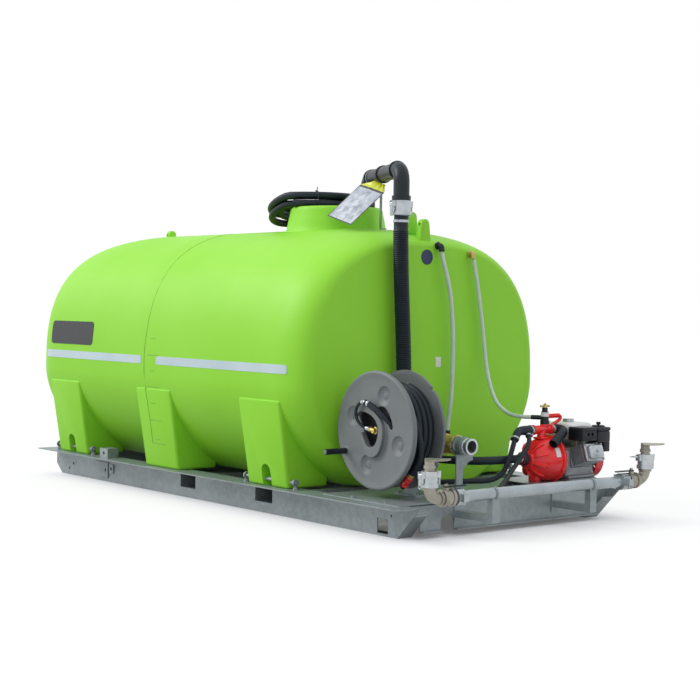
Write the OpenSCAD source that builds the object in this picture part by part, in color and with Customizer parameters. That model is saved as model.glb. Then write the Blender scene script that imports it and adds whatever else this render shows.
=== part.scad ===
// Skid-mounted water cartage unit: moulded tank, sled frame, pump set, hose reel, overhead fill, spray bar.
// Millimetres. X runs along the skid with the pump end at +X, Y across it, Z up from the ground.

/* [Tank] */
// tank length over its two flat ends
tank_l = 3003; // [2800:1:3200]
// moulded wall
tank_wall = 12; // [8:0.5:16]
// height of the reflective tape
tape_h = 50; // [30:1:60]

/* [Frame] */
// folded rail plate
rail_plate = 6; // [5:0.5:8]
// outward top flange of a rail
rail_flange = 145; // [138:1:160]
// how far the rails run past the tank at the front
rail_lead = 18; // [10:1:80]

/* [Spray bar] */
// spray pipe outside diameter
spray_d = 60; // [50:0.5:64]
// lever length from the stem
lever_l = 130; // [90:1:140]
// fan deflector radius
fan_r = 105; // [80:1:110]

/* [Hose reel] */
// hose wound on the reel, outside diameter
reel_hose_d = 36; // [30:0.5:36.5]
// crank grip length
grip_l = 137; // [100:1:150]

/* [Overhead fill] */
// ribbed fill hose, outside diameter
fill_hose_d = 89; // [86:0.5:92]
// stowed coil hose, outside diameter
coil_d = 44; // [38:0.5:48]

/* [Fits] */
// radial clearance of a running fit
run_gap = 0.05; // [0.03:0.01:0.08]
// clearance between moving faces
face_gap = 0.5; // [0.3:0.1:0.8]

/* [Hidden] */
$fn = 40;

// colours
c_galv = [0.70, 0.71, 0.70];
c_tank = [0.45, 0.75, 0.12];
c_black = [0.06, 0.06, 0.06];
c_brass = [0.72, 0.58, 0.26];
c_grey = [0.32, 0.33, 0.35];
c_bronze = [0.58, 0.52, 0.42];
c_red = [0.68, 0.10, 0.10];
c_white = [0.92, 0.92, 0.90];
c_clear = [0.80, 0.86, 0.86];
c_steel = [0.76, 0.76, 0.78];

// frame
skid_w = 1500;
rail_h = 174;
foot_flange = 94;
nose_run = 170;
nose_share = 0.72;
tank_gap = 629;
tank_rear = -tank_gap;
tank_front = -tank_gap - tank_l;
rail_l = tank_gap + tank_l + rail_lead;
web_in = skid_w / 2 - rail_plate;
deck_front = -560;
deck_rear = 60;
deck_half = 800;
deck_t = 4;
deck_top = rail_h + deck_t;
tray_t = 4;
tray_top = 215;
cross_x = 60;
cross_t = 6;
cross_z0 = 30;
cross_z1 = 168;
notch_y = -467;
notch_r = 47;
fork_x = [-1971, -1175];
fork_w = 167;
fork_z0 = 60;
fork_z1 = 140;
fork_wall = 5;
weld_gap = 0.2;
edge = 1;

// tank section and ends
half_w = 916;
widest_z = 743;
top_h = 900;
belly_h = 710;
belly_z = 182;
top_exp = 2.7;
belly_exp = 1.84;
plan_rx = 221;
plan_r = 113;
elev_rx = 601;
elev_r = 118;
belly_share = 0.5;
end_steps = [0, 4, 14, 32, 60, 105, 170, 260, 380, 520, 620];
ring_n = 48;
core_n = 32;
core_steps = [0, 14, 60, 170, 380, 620];

// legs
leg_mid = (tank_rear + tank_front) / 2;
leg_pitch = 1117;
leg_w = 377;
leg_foot_y = 839;
leg_top_y = 905;
leg_top_z = 655;
leg_in_y = 560;
leg_r = 25;
leg_solid = 310;
bar_y = 820;
bar_z = 212;
bar_r = 9.5;
bar_run = 62;
eye_out = 46;
eye_r = 16;
eye_wire = 6;
shank_r = 8;
bolt_r = 6;

// collar, lid and lugs
collar_x = -1490;
collar_r = 280;
collar_base_r = 345;
collar_top = widest_z + top_h + 137;
collar_floor = collar_top - 80;
lid_x = collar_x - 90;
lid_r = 150;

// overhead fill
riser_x = -560;
riser_y = -275;
drop_x = -1282;
drop_y = 75;
over_z = collar_top + 170;
over_r = 45;
over_bore = 38;
over_bend = 80;
over_l = norm([drop_x - riser_x, drop_y - riser_y]);
over_turn = atan2(drop_y - riser_y, drop_x - riser_x);
over_foot = collar_top - 48;
drop_end = collar_floor;
coupler_top = collar_top - 8;
coupler_h = 80;
fill_coupler_r = 53;
fill_y = -237;
fill_z = 446;
fill_bend = 230;
fill_end_x = -235;
fill_bore = 38.5;
tail_r = 35.2;
tail_bore = 31;
rib_n = 120;
rib_deep = 4;
adaptor_r = 44;
adaptor_bore = 33;
adaptor_mouth = 0;
valve_x0 = -210;
valve_x1 = -112;

// hose reel
reel_x = -250;
reel_z = 534;
reel_r = 316;
reel_near = -705;
reel_far = -478;
rim_t = 32;
rim_w = 20;
disc_in = 20;
disc_out = 6;
core_r = 218;
hub_r = 92;
axle_r = 30;
dimple_r = 197;
dimple_a = 70;
grip_r = 267;
grip_a = 208;
grip_d = 32;
grip_pin = 6;
stand_y = -466;

// spray bar
spray_x = 330;
spray_z = 244;
spray_mid = -30;
pipe_half = 611;
groove_w = 48;
ball_in = 650;
ball_out = 722;
head_s = 800;
elbow_bend = 60;
head_base = spray_z + elbow_bend;
head_r = 42;
head_top = head_base + coupler_h;
stub_r = 25;
stub_top = 432;
pin_r = 4;
arm_in = 12;
arm_drop = 18;
support_s = 362;

// pump and engine
crank_x = -100;
crank_z = 321;
case_z = 338;
case_r = 122;
case_y0 = 271;
case_y1 = 480;
shaft_r = 15;
main_z = 505;
main_r = 24;
main_y0 = 314;
main_y1 = 466;
relief_y = 415;
relief_z = 535;

front_overhang = rail_l;
rear_overhang = spray_x + fan_r;
x_shift = (front_overhang - rear_overhang) / 2;

// bolt places on the deck
deck_bolts = [[-335, -775], [-62, -775], [-335, 775], [-62, 775]];

// vectors
function unit(v) = v / norm(v);
function tangent(p, i) = unit(p[min(i + 1, len(p) - 1)] - p[max(i - 1, 0)]);
function first_side(t) = unit(cross(t, abs(t.z) < 0.9 ? [0, 0, 1] : [1, 0, 0]));
function carry(s, t) = unit(s - t * (s * t));
// side vectors carried along a route without twist
function sides(p) = [for (i = 0, s = first_side(tangent(p, 0)); i < len(p);
    i = i + 1, s = carry(s, tangent(p, min(i, len(p) - 1)))) s];
function ring(c, t, s, r, n) = [for (k = [0 : n - 1]) c + r * (cos(360 * k / n) * s + sin(360 * k / n) * cross(t, s))];
function rings(p, r, n) = let (s = sides(p))
    [for (i = [0 : len(p) - 1]) ring(p[i], tangent(p, i), s[i], is_list(r) ? r[i] : r, n)];
function flat(v) = [for (a = v) for (b = a) b];
function wall_faces(m, n, o) = [for (i = [0 : m - 2]) for (k = [0 : n - 1]) let (j = (k + 1) % n)
    each [[o + i * n + k, o + (i + 1) * n + k, o + (i + 1) * n + j], [o + i * n + k, o + (i + 1) * n + j, o + i * n + j]]];
function turned(f) = [for (a = f) [a[2], a[1], a[0]]];

// solid through a row of rings, closed by its first and last ring; a thin bent ring is closed by a strip
module loft(rows, strip = false) {
    m = len(rows);
    n = len(rows[0]);
    e = (m - 1) * n;
    first = strip ? [for (k = [0 : n / 2 - 2]) each [[k, k + 1, n - 2 - k], [k, n - 2 - k, n - 1 - k]]] : [[for (k = [0 : n - 1]) k]];
    last = [for (f = first) [for (k = [len(f) - 1 : -1 : 0]) e + f[k]]];
    polyhedron(points = flat(rows), faces = concat(wall_faces(m, n, 0), first, last), convexity = 6);
}

// solid tube along a route
module tube(p, r, n) loft(rings(p, r, n));

// open hose: outer rings, smooth bore, ring-shaped ends
module open_hose(p, r, q, bore, n) {
    a = rings(p, r, n);
    b = rings(q, bore, n);
    la = len(a);
    lb = len(b);
    o = la * n;
    e = (la - 1) * n;
    f = o + (lb - 1) * n;
    near = [for (k = [0 : n - 1]) let (j = (k + 1) % n) each [[k, j, o + j], [k, o + j, o + k]]];
    far = [for (k = [0 : n - 1]) let (j = (k + 1) % n) each [[e + k, f + j, e + j], [e + k, f + k, f + j]]];
    polyhedron(points = concat(flat(a), flat(b)),
        faces = concat(wall_faces(la, n, 0), turned(wall_faces(lb, n, o)), near, far), convexity = 8);
}

module at_datum() translate([x_shift, 0, 0]) children();
module box(a, b) translate(a) cube(b - a);
module rod_x(p, l, r) translate(p) rotate([0, 90, 0]) cylinder(h = l, r = r);
module rod_y(p, l, r) translate(p) rotate([-90, 0, 0]) cylinder(h = l, r = r);
module rod_z(p, l, r) translate(p) cylinder(h = l, r = r);
// round bar from one point to another
module rod_to(a, b, r) {
    v = b - a;
    translate(a) rotate([0, acos(v.z / norm(v)), atan2(v.y, v.x)]) cylinder(h = norm(v), r = r);
}
module hex_z(p, l, w) translate(p) cylinder(h = l, r = w / sqrt(3), $fn = 6);
module both_sides() {
    children();
    mirror([0, 1, 0]) children();
}
// quarter bend in the XZ plane from straight up at the origin to +X
module bend(r_bend, r) translate([r_bend, 0, 0]) rotate([90, 0, 0]) rotate([0, 0, 90])
    rotate_extrude(angle = 90) translate([r_bend, 0]) circle(r);

// frame

eye_xs = [for (c = [-1, 1]) for (s = [-1, 1]) leg_mid + c * leg_pitch + s * (leg_w / 2 + eye_out)];

module side_rail() {
    y_out = -skid_w / 2;
    front = -rail_l;
    front_edge = 64;
    front_run = 80;
    foot_start = 132;
    corner = 40;
    web_hole = 9;
    small_hole = 6;
    nose = [nose_run, rail_h] * nose_share;
    inward = unit([-rail_h, nose_run]) * rail_plate;
    web_top = rail_h - rail_plate - weld_gap;
    web = [[front, web_top], [front, front_edge], [front + front_run, 0], [0, 0], [nose_run * web_top / rail_h, web_top]];
    foot_y = y_out + rail_plate + weld_gap;
    foot_w = foot_flange - rail_plate - weld_gap;
    holes = [[front + 31, 91, web_hole], [front + 239, 80, web_hole], [front + 184, 43, web_hole], [-48, 112, small_hole]];
    rear_slot = [[-161, 13], [-74, 92]];
    difference() {
        union() {
            translate([0, y_out + rail_plate, 0]) rotate([90, 0, 0]) linear_extrude(rail_plate) polygon(web);
            translate([0, 0, rail_h - rail_plate]) linear_extrude(rail_plate)
                polygon([[front, y_out + rail_plate], [front, y_out - rail_flange],
                    [nose_run - corner, y_out - rail_flange], [nose_run, y_out - rail_flange + corner],
                    [nose_run, y_out + rail_plate]]);
            // the foot and the nose are one bent plate, welded inside the web
            box([front + foot_start, foot_y, 0], [0, foot_y + foot_w, rail_plate]);
            translate([0, foot_y + foot_w, 0]) rotate([90, 0, 0]) linear_extrude(foot_w)
                polygon([[0, 0], nose, nose + inward, inward]);
        }
        for (h = holes) rod_y([h[0], y_out - edge, h[1]], rail_plate + 2 * edge, h[2]);
        for (x = fork_x) box([x - fork_w / 2, y_out - edge, fork_z0], [x + fork_w / 2, y_out + rail_plate + edge, fork_z1]);
        box([rear_slot[0][0], y_out - edge, rear_slot[0][1]], [rear_slot[1][0], y_out + rail_plate + edge, rear_slot[1][1]]);
        for (x = eye_xs) rod_z([x, -bar_y, rail_h - rail_plate - edge], rail_plate + 2 * edge, shank_r + face_gap);
        for (b = deck_bolts) if (b.y < 0) rod_z([b.x, b.y, rail_h - rail_plate - edge], rail_plate + 2 * edge, bolt_r + face_gap);
    }
}
module side_rail_left() color(c_galv) at_datum() side_rail();
module side_rail_right() color(c_galv) at_datum() mirror([0, 1, 0]) side_rail();

module rear_crossrail() color(c_galv) at_datum() {
    low_half = skid_w / 2 - foot_flange - edge;
    step_z = 90;
    lip = 34;
    notch_z = 69;
    difference() {
        union() {
            translate([cross_x, 0, 0]) rotate([90, 0, 90]) linear_extrude(cross_t)
                polygon([[-web_in, cross_z1], [web_in, cross_z1], [web_in, step_z], [low_half, step_z], [low_half, cross_z0],
                    [-low_half, cross_z0], [-low_half, step_z], [-web_in, step_z]]);
            box([cross_x, -low_half, cross_z0], [cross_x + lip, low_half, cross_z0 + cross_t]);
        }
        rod_x([cross_x - edge, notch_y, notch_z], lip + 2 * edge, notch_r);
        box([cross_x - edge, notch_y - notch_r, cross_z0 - edge], [cross_x + lip + edge, notch_y + notch_r, notch_z]);
    }
}

module cross_members() color(c_galv) at_datum() {
    beam_w = 60;
    beam_h = 100;
    wall = 6;
    top = rail_h - rail_plate;
    front_in = 90;
    beams = [leg_mid - leg_pitch, leg_mid, -760, -300];
    front_low = 2 * rail_plate;
    for (x = beams) difference() {
        box([x - beam_w / 2, -web_in, top - beam_h], [x + beam_w / 2, web_in, top]);
        box([x - beam_w / 2 + wall, -web_in - edge, top - beam_h - edge], [x + beam_w / 2 - wall, web_in + edge, top - wall]);
    }
    box([-rail_l + front_in, -web_in, front_low], [-rail_l + front_in + wall, web_in, top]);
    // fork tunnels of four plates, the uprights between the flats
    for (x = fork_x) {
        low = fork_z0 - fork_wall;
        wide = fork_w / 2 + fork_wall;
        for (z = [low, fork_z1]) box([x - wide, -web_in, z], [x + wide, web_in, z + fork_wall]);
        for (dx = [-wide, fork_w / 2])
            box([x + dx, -web_in, fork_z0 + weld_gap], [x + dx + fork_wall, web_in, fork_z1 - weld_gap]);
    }
}

module rear_deck() color(c_galv) at_datum() difference() {
    box([deck_front, -deck_half, rail_h], [deck_rear + cross_t, deck_half, deck_top]);
    for (b = deck_bolts) rod_z([b.x, b.y, rail_h - edge], deck_t + 2 * edge, bolt_r + face_gap);
}

// raised pan that carries pump and engine
tray_x = [-250, 50];
tray_y = [250, 790];
module pump_tray() color(c_galv) at_datum() {
    foot = 26;
    box([tray_x[0], tray_y[0], tray_top - tray_t], [tray_x[1], tray_y[1], tray_top]);
    for (s = [0, 1]) {
        x = s == 0 ? tray_x[0] : tray_x[1] - tray_t;
        box([x, tray_y[0], deck_top], [x + tray_t, tray_y[1] - foot, tray_top]);
        box([s == 0 ? x : x - foot, tray_y[0], deck_top], [s == 0 ? x + foot : x + tray_t, tray_y[1] - foot, deck_top + tray_t]);
    }
}

module tie_down_brackets() color(c_galv) at_datum() both_sides() {
    y_out = -skid_w / 2;
    plate_t = 8;
    hole = 11;
    low = [[-3095, 26], [-2935, 126]];
    low_hole = [-2965, 76];
    lug_x = [-2876, -2776];
    lug_y = [-850, -770];
    lug_h = 62;
    wall = 6;
    small = [[-2915, 60], [-2865, 120]];
    difference() {
        box([low[0][0], y_out - plate_t, low[0][1]], [low[1][0], y_out, low[1][1]]);
        rod_y([low_hole[0], y_out - plate_t - edge, low_hole[1]], plate_t + 2 * edge, hole);
    }
    difference() {
        box([small[0][0], y_out - plate_t, small[0][1]], [small[1][0], y_out, small[1][1]]);
        rod_y([(small[0][0] + small[1][0]) / 2, y_out - plate_t - edge, (small[0][1] + small[1][1]) / 2], plate_t + 2 * edge, hole);
    }
    difference() {
        box([lug_x[0], lug_y[0], rail_h], [lug_x[1], lug_y[1], rail_h + lug_h]);
        box([lug_x[0] - edge, lug_y[0] + wall, rail_h - edge], [lug_x[1] - wall, lug_y[1] + edge, rail_h + lug_h - wall]);
        rod_y([(lug_x[0] + lug_x[1]) / 2, lug_y[0] - edge, rail_h + lug_h / 2], wall + 2 * edge, hole);
    }
}

module hold_down_bars() color(c_galv) at_datum() both_sides()
    for (c = [-1, 1]) rod_x([leg_mid + c * leg_pitch - leg_w / 2 - bar_run, -bar_y, bar_z], leg_w + 2 * bar_run, bar_r);

module eye_bolt(x, y) {
    nut_w = 26;
    nut_h = 12;
    under = rail_h - rail_plate;
    rod_z([x, y, under - nut_h - 2 * edge], bar_z - eye_r - under + nut_h + 3 * edge, shank_r);
    translate([x, y, bar_z]) rotate([0, 90, 0]) rotate_extrude() translate([eye_r, 0]) circle(eye_wire, $fn = 20);
    hex_z([x, y, under - nut_h], nut_h, nut_w);
    hex_z([x, y, rail_h], nut_h, nut_w);
}

module hex_bolt(p, drop) {
    head_w = 19;
    head_h = 8;
    washer_r = 13;
    washer_t = 2;
    rod_z(p, washer_t, washer_r);
    hex_z(p + [0, 0, washer_t], head_h, head_w);
    rod_z(p - [0, 0, drop], drop + washer_t, bolt_r);
}

stand_bolts = [for (sx = [-1, 1]) for (y = [-475, -385]) [reel_x + sx * 62, y]];
tray_bolts = [for (x = [-232, 31]) for (y = [300, 700]) [x, y]];

module fasteners() color(c_galv) at_datum() {
    stand_plate = 8;
    both_sides() for (x = eye_xs) eye_bolt(x, -bar_y);
    for (b = deck_bolts) hex_bolt([b.x, b.y, deck_top], deck_t + rail_plate + 6);
    for (b = stand_bolts) hex_bolt([b.x, b.y, deck_top + stand_plate], 0);
    for (b = tray_bolts) hex_bolt([b.x, b.y, deck_top + tray_t], 0);
}

module pipe_supports() color(c_galv) at_datum() {
    // spray bar arms
    root_t = 8;
    root = [60, 100];
    arm_z = 112;
    arm_h = 36;
    arm_w = 50;
    wall = 6;
    post_d = 40;
    saddle = 5;
    x0 = cross_x + cross_t;
    for (s = [-1, 1]) {
        y = spray_mid + s * support_s;
        box([x0, y - root[0] / 2, cross_z1 - root[1]], [x0 + root_t, y + root[0] / 2, cross_z1]);
        box([x0, y - arm_w / 2, arm_z - arm_h / 2], [spray_x + post_d / 2, y + arm_w / 2, arm_z + arm_h / 2]);
        difference() {
            box([spray_x - post_d / 2, y - arm_w / 2, arm_z], [spray_x + post_d / 2, y + arm_w / 2, spray_z]);
            rod_y([spray_x, y - arm_w, spray_z], 2 * arm_w, spray_d / 2);
        }
        difference() {
            rod_y([spray_x, y - wall, spray_z], 2 * wall, spray_d / 2 + saddle);
            rod_y([spray_x, y - 2 * wall, spray_z], 4 * wall, spray_d / 2);
        }
    }
    // fill bracket
    post_x = -70;
    post_y0 = -290;
    post_y1 = -242;
    post_t = 8;
    post_top = 392;
    arm_y1 = -170;
    foot_l = 70;
    clamp_w = 30;
    box([post_x, post_y0, deck_top], [post_x + post_t, post_y1, post_top]);
    box([post_x - foot_l, post_y0, deck_top], [post_x + post_t, post_y1, deck_top + post_t]);
    translate([post_x, 0, 0]) rotate([90, 0, 90]) linear_extrude(post_t) difference() {
        polygon([[post_y0, post_top - 70], [post_y0, fill_z - adaptor_r], [arm_y1, fill_z - adaptor_r], [arm_y1, post_top - 24], [post_y1, post_top - 70]]);
        translate([arm_y1, post_top - 86]) circle(60);
    }
    translate([post_x, post_y1, deck_top]) rotate([90, 0, 0]) linear_extrude(wall)
        polygon([[0, 0], [-foot_l, 0], [-14, 190], [0, 200]]);
    difference() {
        rod_x([post_x - clamp_w / 2, fill_y, fill_z], clamp_w + post_t, adaptor_r + saddle);
        rod_x([post_x - clamp_w, fill_y, fill_z], 3 * clamp_w, adaptor_r);
    }
    // post of the overhead pipe
    strap_x = over_l - 140;
    strap_w = 40;
    strap_top = over_z + over_r + edge;
    strap_foot = crown_z(riser_x + strap_x * cos(over_turn)) + edge;
    foot_w = 34;
    translate([riser_x, riser_y, 0]) rotate([0, 0, over_turn]) {
        box([strap_x - strap_w / 2, -over_r - wall, strap_foot], [strap_x + strap_w / 2, -over_r, strap_top]);
        box([strap_x - strap_w / 2, -over_r - foot_w, strap_foot], [strap_x + strap_w / 2, -over_r, strap_foot + wall]);
        difference() {
            rod_x([strap_x - wall, 0, over_z], 2 * wall, over_r + saddle);
            rod_x([strap_x - 2 * wall, 0, over_z], 4 * wall, over_r);
        }
    }
}

// tank

function signed(v, e) = sign(v) * pow(abs(v), e);
function inset(d, rx, r) = d >= rx ? 0 : r * (1 - sqrt(1 - pow(1 - d / rx, 2)));
function section(x, d, w, n) = let (a_w = half_w - w - inset(d, plan_rx, plan_r), e_in = inset(d, elev_rx, elev_r))
    [for (k = [0 : n - 1]) let (c = cos(360 * k / n), s = sin(360 * k / n), e = s >= 0 ? 2 / top_exp : 2 / belly_exp,
        h = s >= 0 ? top_h - w - e_in : belly_h - w - belly_share * e_in)
        [x, a_w * signed(c, e), max(widest_z + h * signed(s, e), belly_z + w)]];
function body_rings(steps, w, n) = concat(
    [for (d = steps) section(tank_front + w + d * (1 - w / tank_l), d, w, n)],
    [for (i = [len(steps) - 1 : -1 : 0]) section(tank_rear - w - steps[i] * (1 - w / tank_l), steps[i], w, n)]);
function end_d(x) = min(x - tank_front, tank_rear - x);
function side_w(x) = lookup(end_d(x), [for (d = end_steps) [d, half_w - inset(d, plan_rx, plan_r)]]);
function crown_z(x) = widest_z + lookup(end_d(x), [for (d = end_steps) [d, top_h - inset(d, elev_rx, elev_r)]]);
function side_share(z) = lookup(z, [for (k = [0 : ring_n / 4]) [widest_z + top_h * signed(sin(360 * k / ring_n), 2 / top_exp),
    signed(cos(360 * k / ring_n), 2 / top_exp)]]);

module leg_form(x, grow, z0) {
    r = leg_r;
    half = leg_w / 2 + grow - r;
    lean = (leg_top_y - leg_foot_y) / (leg_top_z - rail_h);
    flare = 8;
    y0 = leg_foot_y + grow + lean * (z0 - rail_h);
    hull() for (s = [-1, 1]) {
        translate([x + s * half, y0 - r, z0]) cylinder(h = edge, r = r, $fn = 16);
        translate([x + s * half, leg_in_y + r, z0]) cylinder(h = edge, r = r, $fn = 16);
        translate([x + s * (half + flare), leg_top_y + grow - r, leg_top_z]) cylinder(h = edge, r = r, $fn = 16);
        translate([x + s * (half + flare), leg_in_y + r, leg_top_z]) cylinder(h = edge, r = r, $fn = 16);
    }
}

module lug(x, top, y_half) {
    r = 26;
    hole = 13;
    root = 130;
    thick = 46;
    difference() {
        hull() {
            rod_x([x - thick / 2, 0, top - r], thick, r);
            box([x - thick / 2, -y_half, top - root], [x + thick / 2, y_half, top - root + edge]);
        }
        rod_x([x - thick, 0, top - r], 2 * thick, hole);
    }
}

// each lug: place along the tank, rise over the crown, half width
lugs = [[tank_front + 245, 74.3, 85], [tank_rear - 165, 125, 85], [tank_rear - 55, 113, 95]];
notch = [85, 125, 55];
port_holes = [[60, 1535, 9], [124, 440, 9], [310, 1495, 11], [-120, 340, 30]];

module tank_shell() color(c_tank) at_datum() {
    wall = tank_wall;
    neck = collar_r - wall;
    lip = 20;
    root_z = collar_top - 220;
    bar_hole = bar_r + 3;
    difference() {
        union() {
            loft(body_rings(end_steps, 0, ring_n));
            both_sides() for (c = [-1, 0, 1]) leg_form(leg_mid + c * leg_pitch, 0, rail_h);
            translate([collar_x, 0, 0]) rotate_extrude($fn = 48)
                polygon(concat([[0, root_z], [collar_base_r, root_z], [collar_base_r, crown_z(collar_x) - 2 * wall]],
                    [for (a = [0 : 15 : 90]) [collar_r - lip + lip * cos(a), collar_top - lip + lip * sin(a)]], [[0, collar_top]]));
            for (g = lugs) lug(g[0], crown_z(g[0]) + g[1], g[2]);
        }
        loft(body_rings(core_steps, wall, core_n));
        both_sides() for (c = [-1, 0, 1]) leg_form(leg_mid + c * leg_pitch, -wall, leg_solid);
        // dish above the floor of the collar, hollow below it
        rod_z([collar_x, 0, collar_floor + wall], collar_top, neck);
        translate([collar_x, 0, root_z - edge]) cylinder(h = collar_floor - root_z + edge, r1 = collar_base_r - 2 * wall, r2 = neck - wall);
        rod_z([lid_x, 0, collar_floor - edge], 2 * wall, lid_r);
        rod_z([drop_x, drop_y, collar_floor - edge], 2 * wall, over_r + 2 * edge);
        // notches and hold-down bores of the end legs
        both_sides() for (c = [-1, 1]) {
            x = leg_mid + c * leg_pitch;
            hull() {
                box([x - notch[0] / 2, leg_foot_y - notch[2], rail_h - edge], [x + notch[0] / 2, leg_top_y, rail_h]);
                rod_y([x, leg_foot_y - notch[2], rail_h + notch[1] - notch[0] / 2], leg_top_y - leg_foot_y + notch[2], notch[0] / 2);
            }
            rod_x([x - leg_w, bar_y, bar_z], 2 * leg_w, bar_hole);
        }
        for (h = port_holes) rod_x([tank_rear - 3 * wall, h[0], h[1]], 4 * wall, h[2]);
    }
}

module manhole_lid() color(c_black) at_datum() {
    floor_top = collar_floor + tank_wall;
    brim = 165;
    brim_h = 16;
    neck_h = 20;
    neck_wall = 12;
    bar = [230, 26, 22];
    difference() {
        rod_z([lid_x, 0, floor_top - neck_h], neck_h + edge, lid_r - 2 * face_gap);
        rod_z([lid_x, 0, floor_top - neck_h - edge], neck_h + edge + face_gap, lid_r - neck_wall);
    }
    rod_z([lid_x, 0, floor_top + face_gap], brim_h, brim);
    for (a = [0, 90]) translate([lid_x, 0, floor_top + face_gap + brim_h]) rotate([0, 0, a])
        box([-bar.x / 2, -bar.y / 2, -edge], [bar.x / 2, bar.y / 2, bar.z]);
}

// thin sheet laid on the seen side of the tank
module side_sheet(x0, x1, zs, off, t) {
    inner = [for (d = end_steps) if (tank_front + d > x0 && tank_front + d < x1) tank_front + d];
    outer = [for (i = [len(end_steps) - 1 : -1 : 0]) let (x = tank_rear - end_steps[i]) if (x > x0 && x < x1) x];
    xs = concat([x0], inner, outer, [x1]);
    nz = len(zs);
    rows = [for (x = xs) concat([for (z = zs) [x, -side_w(x) * side_share(z) - off, z]],
        [for (j = [nz - 1 : -1 : 0]) [x, -side_w(x) * side_share(zs[j]) - off - t, zs[j]]])];
    loft(rows, strip = true);
}

tape_top = widest_z + 118;
tape_t = 0.4;
sheet_off = 0.3;
module reflective_tapes() color(c_white) at_datum() {
    ends = [tank_front + 133, leg_mid - 130, leg_mid + 45, tank_rear - 128];
    for (i = [0, 2]) side_sheet(ends[i], ends[i + 1], [tape_top - tape_h, tape_top], sheet_off, tape_t);
}

module sign_plates() color(c_black) at_datum() {
    sign_x = [tank_front + 197, tank_front + 757];
    corner_z = widest_z + top_h * signed(sin(360 / ring_n), 2 / top_exp);
    sign_z = [widest_z + 161, corner_z, widest_z + 313];
    badge_r = 35;
    label = [40, 58];
    side_sheet(sign_x[0], sign_x[1], sign_z, sheet_off, tape_t);
    rod_x([tank_rear + sheet_off, -18, 1468], edge, badge_r);
    box([tank_rear + sheet_off, 78 - label[0] / 2, 868 - label[1] / 2], [tank_rear + sheet_off + edge, 78 + label[0] / 2, 868 + label[1] / 2]);
}

// tubes on the tank's rear end
sight_x = -590;
sight_r = 12.5;
barb_r = 9;
sight_pts = [[-590, 60, 1496.6], [-586, 69, 1450], [-579, 92, 1365], [-575, 110, 1290], [-575, 124, 1220], [-575, 134, 1130],
    [-575, 141, 1050], [-575, 143, 970], [-575, 143, 880], [-575, 141, 790], [-576, 137, 700], [-580, 131, 600],
    [-586, 126, 530], [-590, 124, 477.6]];
module sight_tube() color(c_clear) at_datum() tube(sight_pts, sight_r, 12);

// elbow from a port on the tank end to a socket that points up or down
module end_elbow(h, x, up, reach) {
    flange_r = 24;
    body = 17;
    spigot = h[2] - sheet_off;
    s = up ? 1 : -1;
    rod_x([tank_rear - 2 * tank_wall, h[0], h[1]], 2 * tank_wall + edge, spigot);
    rod_x([tank_rear + sheet_off, h[0], h[1]], 10, flange_r);
    rod_x([tank_rear + sheet_off, h[0], h[1]], x - tank_rear, body);
    translate([x, h[0], h[1]]) sphere(body + 5);
    rod_z([x, h[0], up ? h[1] : h[1] - reach], reach, body);
}

module plastic_fittings() color(c_black) at_datum() {
    end_elbow(port_holes[0], sight_x, false, 35);
    end_elbow(port_holes[1], sight_x, true, 36);
    // suction outlet of the tank
    out = port_holes[3];
    nut_w = 92;
    rod_x([tank_rear - 2 * tank_wall, out[0], out[1]], 2 * tank_wall + edge, out[2] - sheet_off);
    translate([tank_rear + sheet_off, out[0], out[1]]) rotate([0, 90, 0]) cylinder(h = 18, r = nut_w / sqrt(3), $fn = 6);
    rod_x([tank_rear + sheet_off, out[0], out[1]], 34, 34);
    // pump outlet with two ways, left of the manifold
    left = [crank_x, main_y0 - 34, main_z];
    rod_y(left, 34 - 2 * sheet_off, main_r + 3);
    translate(left) rotate([0, 0, 180]) sphere(main_r + 8);
    // the hoses leave a little askew, so their spouts stop short of them
    delivery_gap = 1.8;
    feed_gap = 1.2;
    rod_y([left.x, delivery_pts[0].y + delivery_gap, left.z], left.y - delivery_pts[0].y, delivery_r + 5);
    rod_to(left, feed_pts[0] + unit(left - feed_pts[0]) * feed_gap, feed_r + 4);
    // capped outlet, right of the manifold, turned forward and down
    reach = 32;
    right = [crank_x, main_y1 + reach, main_z];
    turn = [-30, 480, main_z];
    tip = [26, 428, 430];
    cap = 14;
    rod_y([right.x, main_y1 + 2 * sheet_off, right.z], reach - 2 * sheet_off, main_r);
    translate(right) rotate([0, 0, 180]) sphere(main_r + 5);
    rod_to(right, turn, 20);
    translate(turn) rotate([-50, 0, 0]) rotate([0, 0, 90]) sphere(26);
    rod_to(turn, tip + unit(turn - tip) * cap / 2, 19);
    rod_to(tip + unit(turn - tip) * cap, tip, 25);
}

bypass_r = 11.5;
bypass_pts = [[-596, 314.1, 1464.6], [-592, 322, 1425], [-590, 334, 1360], [-590, 349, 1290], [-590, 364, 1210], [-588, 380, 1115],
    [-585, 394, 1010], [-578, 402, 910], [-560, 402, 820], [-525, 392, 745], [-480, 378, 680], [-425, 364, 630],
    [-370, 356, 600], [-320, 351, 582], [-268, 347, 574], [-218, 355, 571], [-170.4, 379.1, 571]];
module bypass_tube() color(c_clear) at_datum() tube(bypass_pts, bypass_r, 10);

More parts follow.
